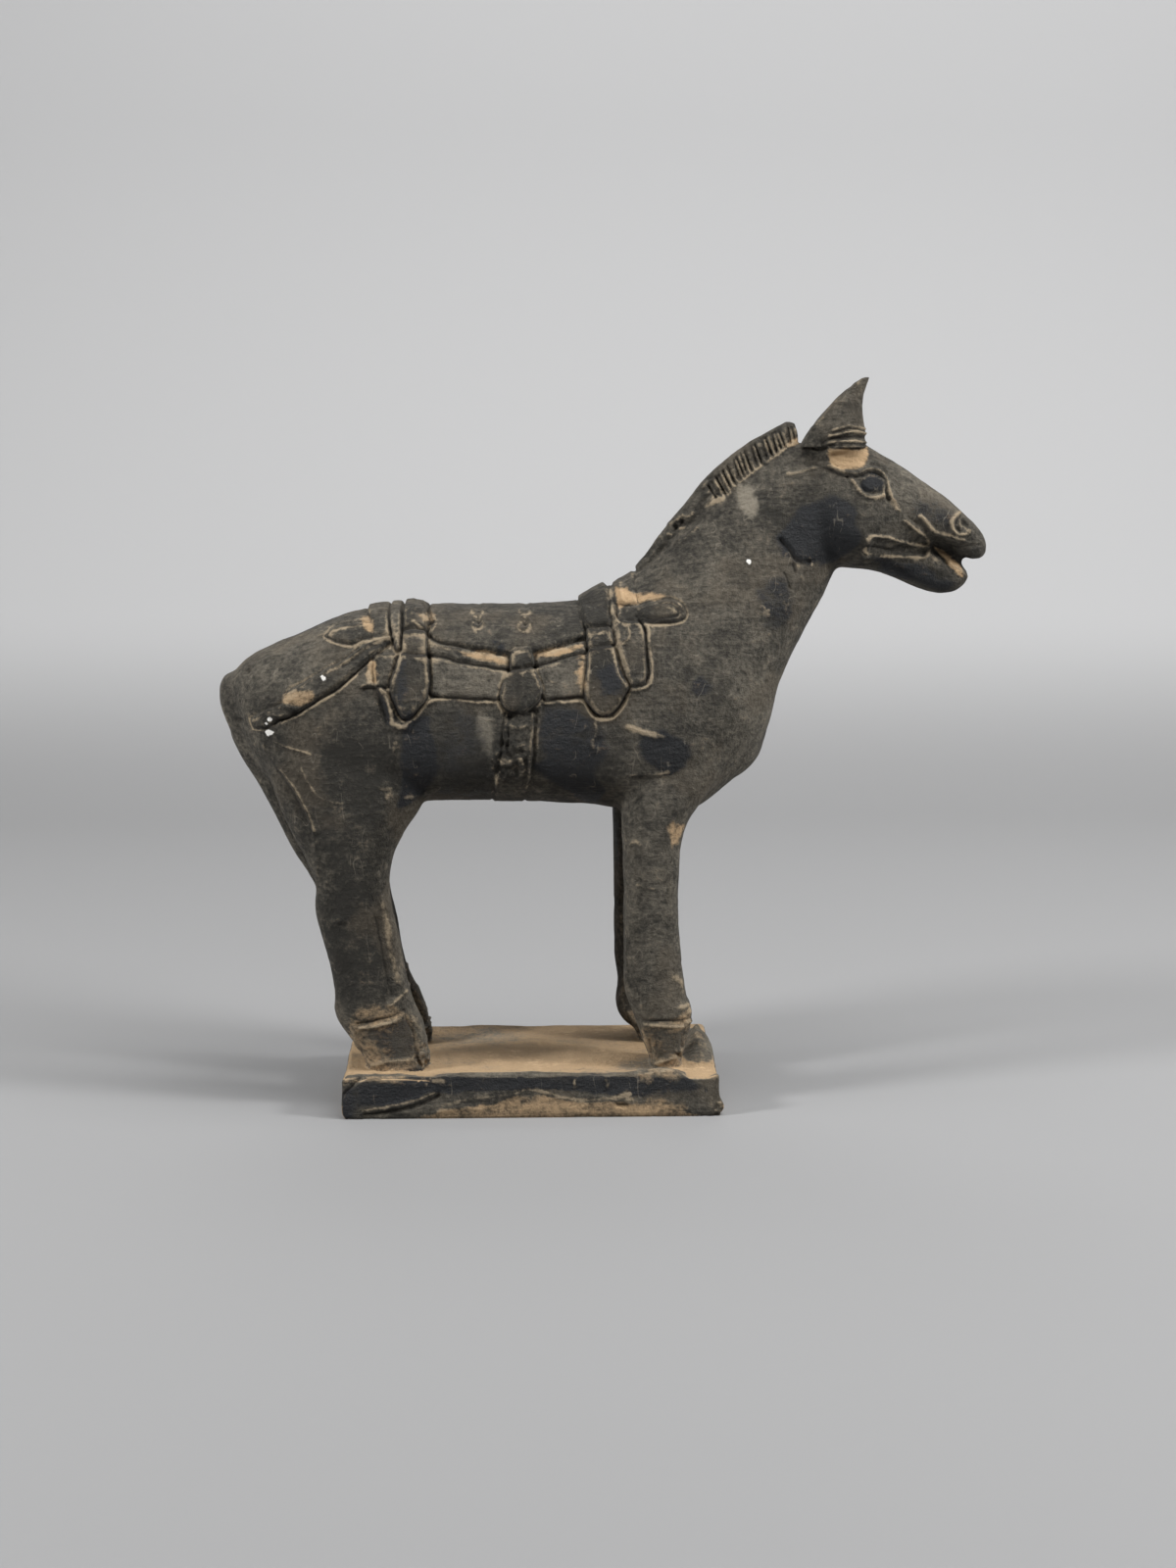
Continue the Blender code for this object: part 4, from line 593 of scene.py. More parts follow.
# Broad differences of tone on the near flank: middle, reach, lighter or darker. The lighter
# chest and nose are painted light, standing in for the light that falls from the right
TONES = [
    (480, 770, 70, 60, -0.12), (590, 780, 50, 60, -0.12), (350, 800, 80, 100, -0.20),
    (365, 960, 45, 90, -0.26), (300, 690, 70, 50, 0.06), (740, 640, 70, 90, 0.04),
    (765, 740, 40, 80, 0.12), (665, 900, 45, 110, 0.08), (480, 694, 40, 22, 0.10),
    (570, 694, 25, 22, 0.10), (840, 545, 60, 45, -0.12), (940, 500, 60, 40, 0.15),
    (420, 640, 20, 25, -0.10), (690, 690, 30, 60, -0.05), (800, 520, 60, 30, -0.05),
    (560, 640, 40, 20, -0.05),
]
# Round marks: middle, radius in pixels, rise, and how white
DOTS = [
    (330, 692, 3.2, 0.20, 1.0), (275, 734, 3.0, 0.10, 1.0), (274, 748, 4.2, 0.10, 0.9),
    (272, 738, 2.0, 0.0, 0.8), (764, 573, 3.2, 0.25, 1.0), (787, 539, 4.4, 0.35, 0.35),
    (345, 939, 4.4, 0.90, 0.0), (872, 395, 2.6, 0.0, 0.5), (692, 862, 2.0, 0.10, 0.2),
    (868, 571, 1.6, 0.2, 0.3),
]
# Ochre laid on the base's top or taken off it: middle's mark, reach along and across in
# metres, and strength. The strong patch under the belly is painted light, lightening the top
# where the body's shadow falls
TOP_OCHRE_AND_LIGHT = [
    (400, 1094, 0.020, 0.006, 0.30), (562, 1078, 0.026, 0.013, 0.75), (712, 1092, 0.012, 0.008, 0.30),
    (600, 1052, 0.028, 0.010, 0.20), (495, 1056, 0.022, 0.014, -0.30), (655, 1056, 0.010, 0.012, -0.4),
]
# A dark band along the front edge of the base's top: from and to along X, its depth, and
# how softly it ends
EDGE_DARK_BAND = (-0.034, 0.040, 0.0070)
EDGE_DARK_BAND_FADE = 0.006

# The seat's studs: their marks, and their size, flatness, rise, pit and dust
STUDS = [(487, 624), (487, 638), (536, 623), (535, 640)]
STUD_RADIUS = 2.1
STUD_SQUASH = 0.72
STUD_HEIGHT = 0.45
STUD_PIT = 1.6
STUD_PIT_OFFSET = 0.4
STUD_DUST = 0.62
# The eyeball and the swell of the cheek: middle's mark, radii and rise
EYE = (890.6, 494.0)
EYE_RADII = (3.7, 2.9)
EYE_HEIGHT = 1.0
CHEEK = (852, 534)
CHEEK_RADIUS = 12.0
CHEEK_HEIGHT = 0.9

# The mane's strokes run from these marks under the crest down to those at its foot
STROKE_TOPS = [(808, 437), (790, 441), (770, 453), (751, 467), (735, 483), (723, 495)]
STROKE_FEET = [(810, 449), (796, 459), (775, 474), (758, 487), (744, 501), (731, 508)]
STROKE_COUNT = 19
STROKE_SEED = 5
STROKE_GAP = np.array([0.95, -0.5])
STROKE_DEPTH = 1.05
STROKE_HALF_WIDTH = 0.45
# The hand's slip and lean, a stroke's strength, and the rise and dust of the strip beside it
STROKE_SLIP = 0.3
STROKE_LEAN = 0.4
STROKE_STRENGTH = (0.55, 1.0)
STRIP_RISE = 0.30
STRIP_DUST = (0.4, 0.9)
# Below them the locks are lumps: how high, how large, and where along X they fade out
LOCK_HEIGHT = 0.75
LOCK_CELL = 2.4
LOCK_LAST = 68.0
LOCK_FADE = 8.0
MANE_STATIONS = 24
# Crumbled clay: middle's mark, reach in parts, height
CRUMBS = [
    (524, 775, 7.0, 14.0, 0.45), (415, 735, 7.0, 8.0, 0.30), (436, 1076, 4.0, 6.0, 0.55),
    (440, 1050, 4.0, 8.0, 0.5), (700, 1052, 3.0, 10.0, 0.4), (790, 625, 8.0, 8.0, 0.20),
    (735, 1128, 5.0, 5.0, 0.5),
]
CRUMB_CELL = 1.5
# Softness of every edge of the relief, how far past its outline a form still acts, how
# each form swells from its edge, and the fine groove that runs round each outline
EDGE_SOFTNESS = 0.40
RELIEF_MARGIN = 3.0
CROWN_EDGE = 0.80
CROWN_REACH = 2.4
OUTLINE_GROOVE = 0.30
GROOVE_OFFSET = 0.50
GROOVE_HALF_WIDTH = 0.50
# Where the dust has caught beside an outline, and where painted shade darkens the line itself
DUST_OFFSET = 0.95
DUST_HALF_WIDTH = 0.42
DARK_OFFSET = 0.30
DARK_HALF_WIDTH = 0.36
# How dark the painted shade in a small pit is
PIT_DARK = 0.9
# Edges and hollows are found by taking the softened relief from the relief itself; the edges get dust and
# the hollows painted shade
HOLLOW_REACH = 0.9
HOLLOW_FROM = 0.04
HOLLOW_TO = 0.30
RIM_DUST = 0.62
HOLLOW_DARK = 0.55
# How much of the fine lines is left where the surface turns away from the side view
OVER_TOP = 0.25
# Painted light and shade from above: the share of dust kept on ledges that face down and up,
# so that the up-facing ones are painted lighter, and the painted shade on those that face down
# and the share of it that is lost on those that face up
DUST_AND_LIGHT_BELOW = 0.45
DUST_AND_LIGHT_ABOVE = 1.3
DARK_BELOW = 1.15
DARK_LOST_ABOVE = 0.6
# The side view's map of the relief: its reach and its step, in parts
MAP_X = (-116.0, 168.0)
MAP_Z = (-2.0, 256.0)
MAP_STEP = 0.25
# Unevenness of the hand: how far the outlines wander, in parts, and the swells and dents
# of the surface, each as a height and a size in metres
WANDER = 0.22
WANDER_CELL = 3.0
PATCH_WANDER = [(1.3, 7.0, 61), (0.6, 2.4, 63)]
SWELLS = [(0.00026, 0.011), (0.00013, 0.0045), (0.00006, 0.0019)]
DENT_DEPTH = 0.00022
DENT_CELL = 0.0042
DENT_RANGE = (0.50, 0.85)
SLAB_SWELLS = [(0.00045, 0.016), (0.00018, 0.005)]
SLAB_SWELL_SUNK = 0.4
# What lies below this height is the flat underside, and the gap kept inside the solid's box
UNDERSIDE_BAND = 0.0006
BOX_MARGIN = 0.00002


def smooth_rows(rows, count):
    """Reads count rows off a smooth curve through the given rows of numbers."""
    table = np.array(rows, dtype=float)
    last = len(table) - 1
    span = np.linalg.norm(np.diff(table[:, :4] if table.shape[1] > 4 else table, axis=0), axis=1)
    knots = np.concatenate([[0.0], np.cumsum(span ** 0.5)])
    slopes = np.gradient(table, knots, axis=0)
    spots = np.linspace(0.0, knots[last], count)
    index = np.clip(np.searchsorted(knots, spots, side="right") - 1, 0, last - 1)
    width = (knots[index + 1] - knots[index])[:, None]
    t = ((spots - knots[index])[:, None]) / width
    start, end = table[index], table[index + 1]
    rise = slopes[index] * width
    fall = slopes[index + 1] * width
    blend = (2 * t ** 3 - 3 * t ** 2 + 1) * start + (t ** 3 - 2 * t ** 2 + t) * rise
    return blend + (-2 * t ** 3 + 3 * t ** 2) * end + (t ** 3 - t ** 2) * fall


def to_world(points):
    """Turns the figure's parts into metres, with its feet on top of the base."""
    world = np.array(points, dtype=float)
    world[:, 2] -= GROUND
    world *= UNIT
    world[:, 2] += BASE_THICKNESS
    return world


def section(row, side):
    """The points of one section: a rounded rectangle between its two side-view ends."""
    ax, az, bx, bz, half_width, middle, squareness, lean = row
    turn = np.linspace(0.0, 2.0 * math.pi, LOFT_SIDES, endpoint=False)
    along = np.sign(np.cos(turn)) * np.abs(np.cos(turn)) ** (2.0 / squareness)
    across = np.sign(np.sin(turn)) * np.abs(np.sin(turn)) ** (2.0 / squareness)
    x = (ax + bx) / 2 + along * (ax - bx) / 2
    z = (az + bz) / 2 + along * (az - bz) / 2
    y = side * middle + across * half_width * (1.0 + lean * along)
    return np.stack([x, y, z], axis=1)


def loft(mesh, rows, side=1.0):
    """Adds a closed loft through the stations to a bmesh."""
    rings = []
    for row in smooth_rows(rows, LOFT_STEPS):
        rings.append([mesh.verts.new(point) for point in to_world(section(row, side))])
    for first, second in zip(rings, rings[1:]):
        for i in range(LOFT_SIDES):
            j = (i + 1) % LOFT_SIDES
            mesh.faces.new((first[i], first[j], second[j], second[i]))
    mesh.faces.new(rings[0][::-1])
    mesh.faces.new(rings[-1])


def far_leg(rows, upper_shift, hoof_shift, heel):
    """The stations of a far leg, worked out from those of the near one."""
    shifted = []
    for ax, az, bx, bz, *rest in rows:
        height = (az + bz) / 2 - GROUND
        share = min(max(height / HOOF_TO_SHANK, 0.0), 1.0)
        shift = hoof_shift + (upper_shift - hoof_shift) * share
        back = heel * math.exp(-((height - HEEL_HEIGHT) / HEEL_SPREAD) ** 2)
        shifted.append((ax + shift, az, bx + shift - back, bz, *rest))
    return shifted


def mane_rows():
    """Stations of the mane plate, from the withers to the step behind the ears."""
    foot = smooth_rows(MANE_FOOT, MANE_STATIONS)
    crest = smooth_rows(MANE_CREST, MANE_STATIONS)
    rows = []
    for low, high in zip(foot, crest):
        down = (low - high) / max(np.linalg.norm(low - high), MANE_SHORTEST)
        sunk = low + down * MANE_SUNK
        rows.append((*high, *sunk, *MANE_SECTION))
    step = (foot[-1][0], crest[-1][1] - MANE_STEP_DROP)
    rows.append((*step, MANE_FRONT[0], MANE_FRONT[1] - MANE_SUNK, *MANE_SECTION))
    return rows


def segment_distance(x, z, start, end):
    """Distance in the side view from each point to one straight piece of line."""
    along = np.array(end) - np.array(start)
    length = max(float(along @ along), 1e-9)
    share = np.clip(((x - start[0]) * along[0] + (z - start[1]) * along[1]) / length, 0.0, 1.0)
    return np.hypot(x - start[0] - share * along[0], z - start[1] - share * along[1])


def path_distance(x, z, path):
    """Distance in the side view from each point to an open line."""
    distance = np.full(x.shape, 1e3)
    for start, end in zip(path, path[1:]):
        distance = np.minimum(distance, segment_distance(x, z, start, end))
    return distance


def outline_distance(x, z, outline):
    """Distance in the side view to a closed outline, negative inside it."""
    distance = np.full(x.shape, 1e3)
    inside = np.zeros(x.shape, dtype=bool)
    for start, end in zip(outline, np.roll(outline, -1, axis=0)):
        distance = np.minimum(distance, segment_distance(x, z, start, end))
        crosses = (start[1] > z) != (end[1] > z)
        rise = end[1] - start[1] if abs(end[1] - start[1]) > 1e-9 else 1e-9
        inside ^= crosses & (x < start[0] + (z - start[1]) * (end[0] - start[0]) / rise)
    return np.where(inside, -distance, distance)


def near(x, z, points, margin):
    """Picks the points that lie within a margin of an outline's box."""
    low = np.min(points, axis=0) - margin
    high = np.max(points, axis=0) + margin
    return (x > low[0]) & (x < high[0]) & (z > low[1]) & (z < high[1])


def bell(distance, width):
    return np.exp(-(distance / width) ** 2)


def step_up(value, low, high):
    """Rises smoothly from 0 at low to 1 at high."""
    t = np.clip((value - low) / (high - low), 0.0, 1.0)
    return t * t * (3.0 - 2.0 * t)


def noise(axes, cell, seed):
    """Smooth noise from -1 to 1 over two or three axes, the same on every run."""
    whole = [np.floor(axis / cell).astype(np.int64) for axis in axes]
    share = [step_up(axis / cell - floor, 0.0, 1.0) for axis, floor in zip(axes, whole)]
    total = np.zeros(axes[0].shape)
    for corner in itertools.product((0, 1), repeat=len(axes)):
        mixed = np.full(axes[0].shape, seed * 7919 + 17, dtype=np.int64)
        weight = np.ones(axes[0].shape)
        for side, floor, part, prime in zip(corner, whole, share, (374761, 668265, 946463)):
            mixed = (mixed * 31 + (floor + side) * prime) & 0xFFFFFFF
            mixed = ((mixed ^ (mixed >> 11)) * 12741) & 0xFFFFFFF
            weight *= part if side else 1.0 - part
        total += weight * ((mixed >> 4) % 65536 / 32767.5 - 1.0)
    return total


def softened(table, reach):
    """A map blurred over a reach given in parts."""
    steps = int(3 * reach / MAP_STEP)
    spread = np.exp(-0.5 * (np.arange(-steps, steps + 1) * MAP_STEP / reach) ** 2)
    spread /= spread.sum()
    for axis in (0, 1):
        table = np.apply_along_axis(np.convolve, axis, table, spread, mode="same")
    return table


def photo_ray(u, v):
    """The camera's line of sight through a mark in the photograph."""
    focal = CAMERA_LENS / SENSOR * PHOTO_HEIGHT
    sight = Vector(((u - PHOTO_WIDTH / 2) / focal, (PHOTO_HEIGHT / 2 - v) / focal, -1.0))
    sight.rotate(Euler((math.radians(CAMERA_TILT), 0.0, math.radians(CAMERA_TURN))))
    return Vector(CAMERA_PLACE), sight.normalized()


def spots_on(solid, marks):
    """Where marks in the photograph lie on the solid, in metres."""
    spots = []
    for u, v in marks:
        start, sight = photo_ray(u, v)
        spot = solid.ray_cast(start, sight)[0]
        if spot is None:
            spot = start + sight * ((OUTLINE_PLANE - start.y) / sight.y)
        spots.append(tuple(spot))
    return np.array(spots)


def side_places(solid, marks):
    """Where marks in the photograph lie on the solid, in the side view."""
    return np.stack(side_view(spots_on(solid, marks)), axis=1)


def curve_through(places):
    """A smooth open line through three or more places."""
    return smooth_rows(places, 3 * len(places)) if len(places) > 2 else places


def lay_forms(x, z, solid, maps):
    """Lays the trappings over one another, with a groove, dust and painted shade round each."""
    height, dust_and_painted_light, painted_shade, film_and_light = maps
    for _, level, is_round, dusty, tone, marks in FORMS:
        points = side_places(solid, marks)
        if is_round:
            points = smooth_rows(np.concatenate([points, points[:1]]), 4 * len(points))[:-1]
        pick = near(x, z, points, RELIEF_MARGIN)
        distance = outline_distance(x[pick], z[pick], points)
        cover = 0.5 - 0.5 * np.clip(distance / EDGE_SOFTNESS, -1.0, 1.0)
        crown = CROWN_EDGE + (1.0 - CROWN_EDGE) * np.sqrt(np.clip(-distance / CROWN_REACH, 0.0, 1.0))
        groove = OUTLINE_GROOVE * bell(distance - GROOVE_OFFSET, GROOVE_HALF_WIDTH)
        height[pick] = height[pick] * (1.0 - cover) + level * crown * cover - groove
        beside = dusty * bell(distance - DUST_OFFSET, DUST_HALF_WIDTH)
        dust_and_painted_light[pick] = np.maximum(dust_and_painted_light[pick] * (1.0 - cover), beside)
        painted_shade[pick] = np.maximum(painted_shade[pick] * (1.0 - cover), bell(distance - DARK_OFFSET, DARK_HALF_WIDTH))
        film_and_light[pick] = film_and_light[pick] * (1.0 - cover) + tone * cover


def lay_line(x, z, path, rise, width, tone, maps):
    """Raises or cuts one line, dusty on a rise and painted with shade in a cut."""
    height, dust_and_painted_light, painted_shade = maps[:3]
    pick = near(x, z, path, RELIEF_MARGIN * width)
    line = bell(path_distance(x[pick], z[pick], path), width)
    height[pick] += rise * line
    core = bell(path_distance(x[pick], z[pick], path), 0.8 * width)
    if rise > 0.0:
        dust_and_painted_light[pick] = np.maximum(dust_and_painted_light[pick], tone * core)
        painted_shade[pick] *= 1.0 - core
    else:
        painted_shade[pick] = np.maximum(painted_shade[pick], tone * core)
        dust_and_painted_light[pick] *= 1.0 - core


def lay_stud(x, z, place, maps):
    """A low ring with a dusty rim and a pit off its middle, the pit painted with shade."""
    height, dust_and_painted_light, painted_shade = maps[:3]
    distance = np.hypot(x - place[0], (z - place[1]) / STUD_SQUASH)
    ring = bell(distance - STUD_RADIUS, STUD_RADIUS / 4)
    pit = bell(np.hypot(x - place[0] - STUD_PIT_OFFSET, z - place[1]), STUD_RADIUS / 3)
    height += STUD_HEIGHT * (ring - STUD_PIT * pit)
    np.maximum(dust_and_painted_light, STUD_DUST * bell(distance - 0.85 * STUD_RADIUS, STUD_RADIUS / 4), out=dust_and_painted_light)
    np.maximum(painted_shade, PIT_DARK * pit, out=painted_shade)


def lay_face(x, z, solid, maps):
    """The eyeball, with painted shade in the crease round it, and the swell of the cheek."""
    height, _, painted_shade = maps[:3]
    eye = side_places(solid, [EYE])[0]
    reach = np.hypot((x - eye[0]) / EYE_RADII[0], (z - eye[1]) / EYE_RADII[1])
    height += EYE_HEIGHT * np.sqrt(np.clip(1.0 - reach ** 2, 0.0, 1.0))
    np.maximum(painted_shade, PIT_DARK * bell(reach - 1.10, 0.10), out=painted_shade)
    cheek = side_places(solid, [CHEEK])[0]
    height += CHEEK_HEIGHT * bell(np.hypot(x - cheek[0], z - cheek[1]), CHEEK_RADIUS)


def lay_mane(x, z, solid, maps):
    """Slanting strokes over the upper mane, and lumpy locks down to the withers, with painted shade in the
    strokes and between the locks.
    """
    tops = smooth_rows(side_places(solid, STROKE_TOPS), STROKE_COUNT)
    feet = smooth_rows(side_places(solid, STROKE_FEET), STROKE_COUNT)
    hand = random.Random(STROKE_SEED)
    for top, foot in zip(tops, feet):
        path = np.array([top, foot]) + hand.uniform(-STROKE_SLIP, STROKE_SLIP)
        path[hand.randrange(2)] += hand.uniform(-STROKE_LEAN, STROKE_LEAN)
        strength = hand.uniform(*STROKE_STRENGTH)
        lay_line(x, z, path, -strength * STROKE_DEPTH, STROKE_HALF_WIDTH, strength, maps)
        dusty = hand.uniform(*STRIP_DUST)
        lay_line(x, z, path + STROKE_GAP, STRIP_RISE, STROKE_HALF_WIDTH, dusty, maps)
    foot = smooth_rows(MANE_FOOT, MANE_STATIONS)
    crest = smooth_rows(MANE_CREST, MANE_STATIONS)
    distance = outline_distance(x, z, np.concatenate([foot, crest[::-1]]))
    lower = step_up(-distance, 0.2, 1.4) * step_up(-x, -LOCK_LAST, -LOCK_LAST + LOCK_FADE)
    lumps = noise((x, z), LOCK_CELL, 41) + 0.5 * noise((x, z), LOCK_CELL / 2, 42)
    maps[0] += LOCK_HEIGHT * lower * lumps
    np.maximum(maps[1], 0.8 * lower * step_up(lumps, 0.25, 0.6), out=maps[1])
    np.maximum(maps[2], lower * step_up(-lumps, 0.30, 0.7), out=maps[2])


def colour_maps(x, z, solid):
    """Maps of ochre, soot and dusty film on the near flank, the film with painted light on the chest and
    nose.
    """
    kinds = {kind: np.zeros(x.shape) for kind in ("ochre_and_light", "soot", "film_and_light")}
    for reach, cell, seed in PATCH_WANDER:
        x = x + reach * noise((x, z), cell, seed)
        z = z + reach * noise((x, z), cell, seed + 1)
    for kind, strength, softness, marks in PATCHES:
        points = side_places(solid, marks)
        pick = near(x, z, points, 2 * softness)
        distance = outline_distance(x[pick], z[pick], points)
        cover = strength * (1.0 - step_up(distance, -0.5 * softness, softness))
        kinds[kind][pick] = np.maximum(kinds[kind][pick], cover)
    # The lighter tones on the chest and nose are painted light
    for u, v, half_u, half_v, amount in TONES:
        middle = side_places(solid, [(u, v)])[0]
        reach = np.hypot((x - middle[0]) / (half_u * PIXEL), (z - middle[1]) / (half_v * PIXEL))
        kinds["film_and_light"] += amount * (1.0 - step_up(reach, 0.35, 1.25))
    return kinds


def relief_maps(solid):
    """The side view's maps, in parts: height, dust with painted light from above, painted shade, and the
    patches of colour.
    """
    across = np.arange(MAP_X[0], MAP_X[1], MAP_STEP)
    up = np.arange(MAP_Z[0], MAP_Z[1], MAP_STEP)
    x, z = np.meshgrid(across, up)
    wide_x = x + WANDER * noise((x, z), WANDER_CELL, 1)
    wide_z = z + WANDER * noise((x, z), WANDER_CELL, 2)
    maps = [np.zeros(x.shape) for _ in range(4)]
    lay_forms(wide_x, wide_z, solid, maps)
    forms = maps[0].copy()
    for _, rise, width, dusty, marks in RIDGES:
        lay_line(wide_x, wide_z, curve_through(side_places(solid, marks)), rise, width, dusty, maps)
    for _, depth, width, shade, marks in CUTS:
        lay_line(wide_x, wide_z, curve_through(side_places(solid, marks)), -depth, width, shade, maps)
    for place in side_places(solid, STUDS):
        lay_stud(wide_x, wide_z, place, maps)
    lay_face(x, z, solid, maps)
    lay_mane(x, z, solid, maps)
    front = z < GROUND
    for table in maps + [forms]:
        table[front] = 0.0
    for _, rise, width, tone, marks in BASE_LINES:
        lay_line(wide_x, wide_z, curve_through(side_places(solid, marks)), rise, width, tone, maps)
    for u, v, reach_x, reach_z, amount in CRUMBS:
        middle = side_places(solid, [(u, v)])[0]
        share = bell(np.hypot((x - middle[0]) / reach_x, (z - middle[1]) / reach_z), 0.8)
        lumps = noise((x, z), CRUMB_CELL, 51) + 0.6 * noise((x, z), CRUMB_CELL / 2, 52)
        maps[0] += amount * share * lumps
        np.maximum(maps[1], 0.7 * share * step_up(lumps, 0.3, 0.8), out=maps[1])
    for u, v, radius, rise, _ in DOTS:
        place = side_places(solid, [(u, v)])[0]
        maps[0] += rise * bell(np.hypot(x - place[0], z - place[1]), radius * PIXEL)
    edges = maps[0] - softened(maps[0], HOLLOW_REACH)
    # Painted light and shade from above: up-facing ledges get more dust and lose shade, down-facing ones get
    # less dust and more shade
    facing_up = step_up(-np.gradient(softened(maps[0], EDGE_SOFTNESS), MAP_STEP, axis=0), -0.35, 0.35)
    maps[1] = np.maximum(maps[1], RIM_DUST * step_up(edges, HOLLOW_FROM, HOLLOW_TO))
    maps[1] *= DUST_AND_LIGHT_BELOW + (DUST_AND_LIGHT_ABOVE - DUST_AND_LIGHT_BELOW) * facing_up
    maps[2] = np.maximum(maps[2], HOLLOW_DARK * step_up(-edges, HOLLOW_FROM, HOLLOW_TO))
    maps[2] *= DARK_BELOW - DARK_LOST_ABOVE * facing_up
    kinds = colour_maps(x, z, solid)
    kinds["film_and_light"] += maps[3]
    return {"forms": forms, "lines": maps[0] - forms, "dust_and_painted_light": maps[1], "painted_shade": maps[2], **kinds}


def read_map(table, x, z):
    """Reads a side-view map at the given places, between its cells."""
    column = np.clip((x - MAP_X[0]) / MAP_STEP, 0, table.shape[1] - 1.001)
    row = np.clip((z - MAP_Z[0]) / MAP_STEP, 0, table.shape[0] - 1.001)
    i, j = column.astype(int), row.astype(int)
    s, t = column - i, row - j
    low = table[j, i] * (1 - s) + table[j, i + 1] * s
    high = table[j + 1, i] * (1 - s) + table[j + 1, i + 1] * s
    return low * (1 - t) + high * t


def side_view(points):
    """The side-view place, in parts, of points in metres."""
    return points[:, 0] / UNIT, (points[:, 2] - BASE_THICKNESS) / UNIT + GROUND


def coordinates(mesh):
    flat = np.empty(len(mesh.vertices) * 3, dtype=np.float32)
    mesh.vertices.foreach_get("co", flat)
    return flat.reshape(-1, 3).astype(float)


def normals_of(mesh):
    flat = np.empty(len(mesh.vertices) * 3, dtype=np.float32)
    mesh.vertex_normals.foreach_get("vector", flat)
    return flat.reshape(-1, 3).astype(float)


def on_slab(points):
    """Picks the points of the slab base."""
    return points[:, 2] < BASE_THICKNESS + 0.3 * UNIT


def on_slab_front(points, normals):
    return on_slab(points) & (points[:, 1] < 0.0) & (normals[:, 1] < -0.5)


def facing_side(normals):
    """How far the surface faces the side view, where the fine lines are drawn."""
    return OVER_TOP + (1.0 - OVER_TOP) * step_up(np.abs(normals[:, 1]), 0.12, 0.42)


def shape_slab(points, normals):
    """Wears the slab: its front edge waves, its sides swell, with a burr and a mound of clay."""
    slab = on_slab(points)
    edge = []
    for u, v in BASE_EDGE:
        start, sight = photo_ray(u, v)
        edge.append(start + sight * ((-BASE_WIDTH / 2 - start.y) / sight.y))
    drop = np.interp(points[:, 0], [spot.x for spot in edge], [spot.z - BASE_THICKNESS for spot in edge])
    share = step_up(-points[:, 1], BASE_WIDTH / 2 - BASE_EDGE_REACH, BASE_WIDTH / 2)
    share *= step_up(points[:, 2], BASE_EDGE_FADE * BASE_THICKNESS, BASE_THICKNESS)
    points[:, 2] += drop * share * slab
    swell = np.zeros(len(points))
    for seed, (amount, cell) in enumerate(SLAB_SWELLS):
        swell += amount * (noise(tuple(points.T), cell, 30 + seed) - SLAB_SWELL_SUNK)
    points += normals * (swell * slab * (points[:, 2] > UNDERSIDE_BAND))[:, None]
    reach = sum(((points[:, i] - BURR[i]) / BURR_REACH[i]) ** 2 for i in range(3))
    points[:, 0] += BURR_RISE * np.exp(-reach) * slab
    reach = sum(((points[:, i] - MOUND[i]) / MOUND_REACH[i]) ** 2 for i in range(2))
    share = slab * step_up(points[:, 2], *MOUND_FOOT)
    lumps = 1.0 + MOUND_LUMPS[0] * noise(tuple(points.T), MOUND_LUMPS[1], 35)
    points[:, 2] += MOUND_RISE * np.exp(-reach) * share * lumps


def carve(item, maps):
    """Raises and cuts the relief along the surface and gives it the hand's unevenness."""
    mesh = item.data
    points = coordinates(mesh)
    normals = normals_of(mesh)
    x, z = side_view(points)
    height = read_map(maps["forms"], x, z) + read_map(maps["lines"], x, z) * facing_side(normals)
    height *= RELIEF_DEPTH
    height[on_slab(points) & ~on_slab_front(points, normals)] = 0.0
    for seed, (amount, cell) in enumerate(SWELLS):
        height += amount * noise(tuple(points.T), cell, 20 + seed) * ~on_slab(points)
    height -= DENT_DEPTH * step_up(noise(tuple(points.T), DENT_CELL, 27), *DENT_RANGE)
    points += normals * height[:, None]
    shape_slab(points, normals)
    mesh.vertices.foreach_set("co", points.astype(np.float32).ravel())
    mesh.update()


def settle(item, low, high):
    """Flattens the underside and keeps every point inside the solid's box."""
    points = coordinates(item.data)
    points[points[:, 2] < UNDERSIDE_BAND, 2] = 0.0
    points = np.clip(points, low + BOX_MARGIN * (low < 0), high - BOX_MARGIN)
    item.data.vertices.foreach_set("co", points.astype(np.float32).ravel())
    item.data.update()


def body_mesh():
    """All the lofted members of the horse in one mesh, still overlapping."""
    mesh = bmesh.new()
    for rows in (TRUNK, NECK, SKULL, JAW, MOUTH_FILL, TAIL, EAR_ROOT):
        loft(mesh, rows)
    loft(mesh, FORE_LEG, -1.0)
    loft(mesh, HIND_LEG, -1.0)
    loft(mesh, far_leg(FORE_LEG, *FAR_FORE))
    loft(mesh, far_leg(HIND_LEG, *FAR_HIND))
    bmesh.ops.recalc_face_normals(mesh, faces=mesh.faces)
    return mesh


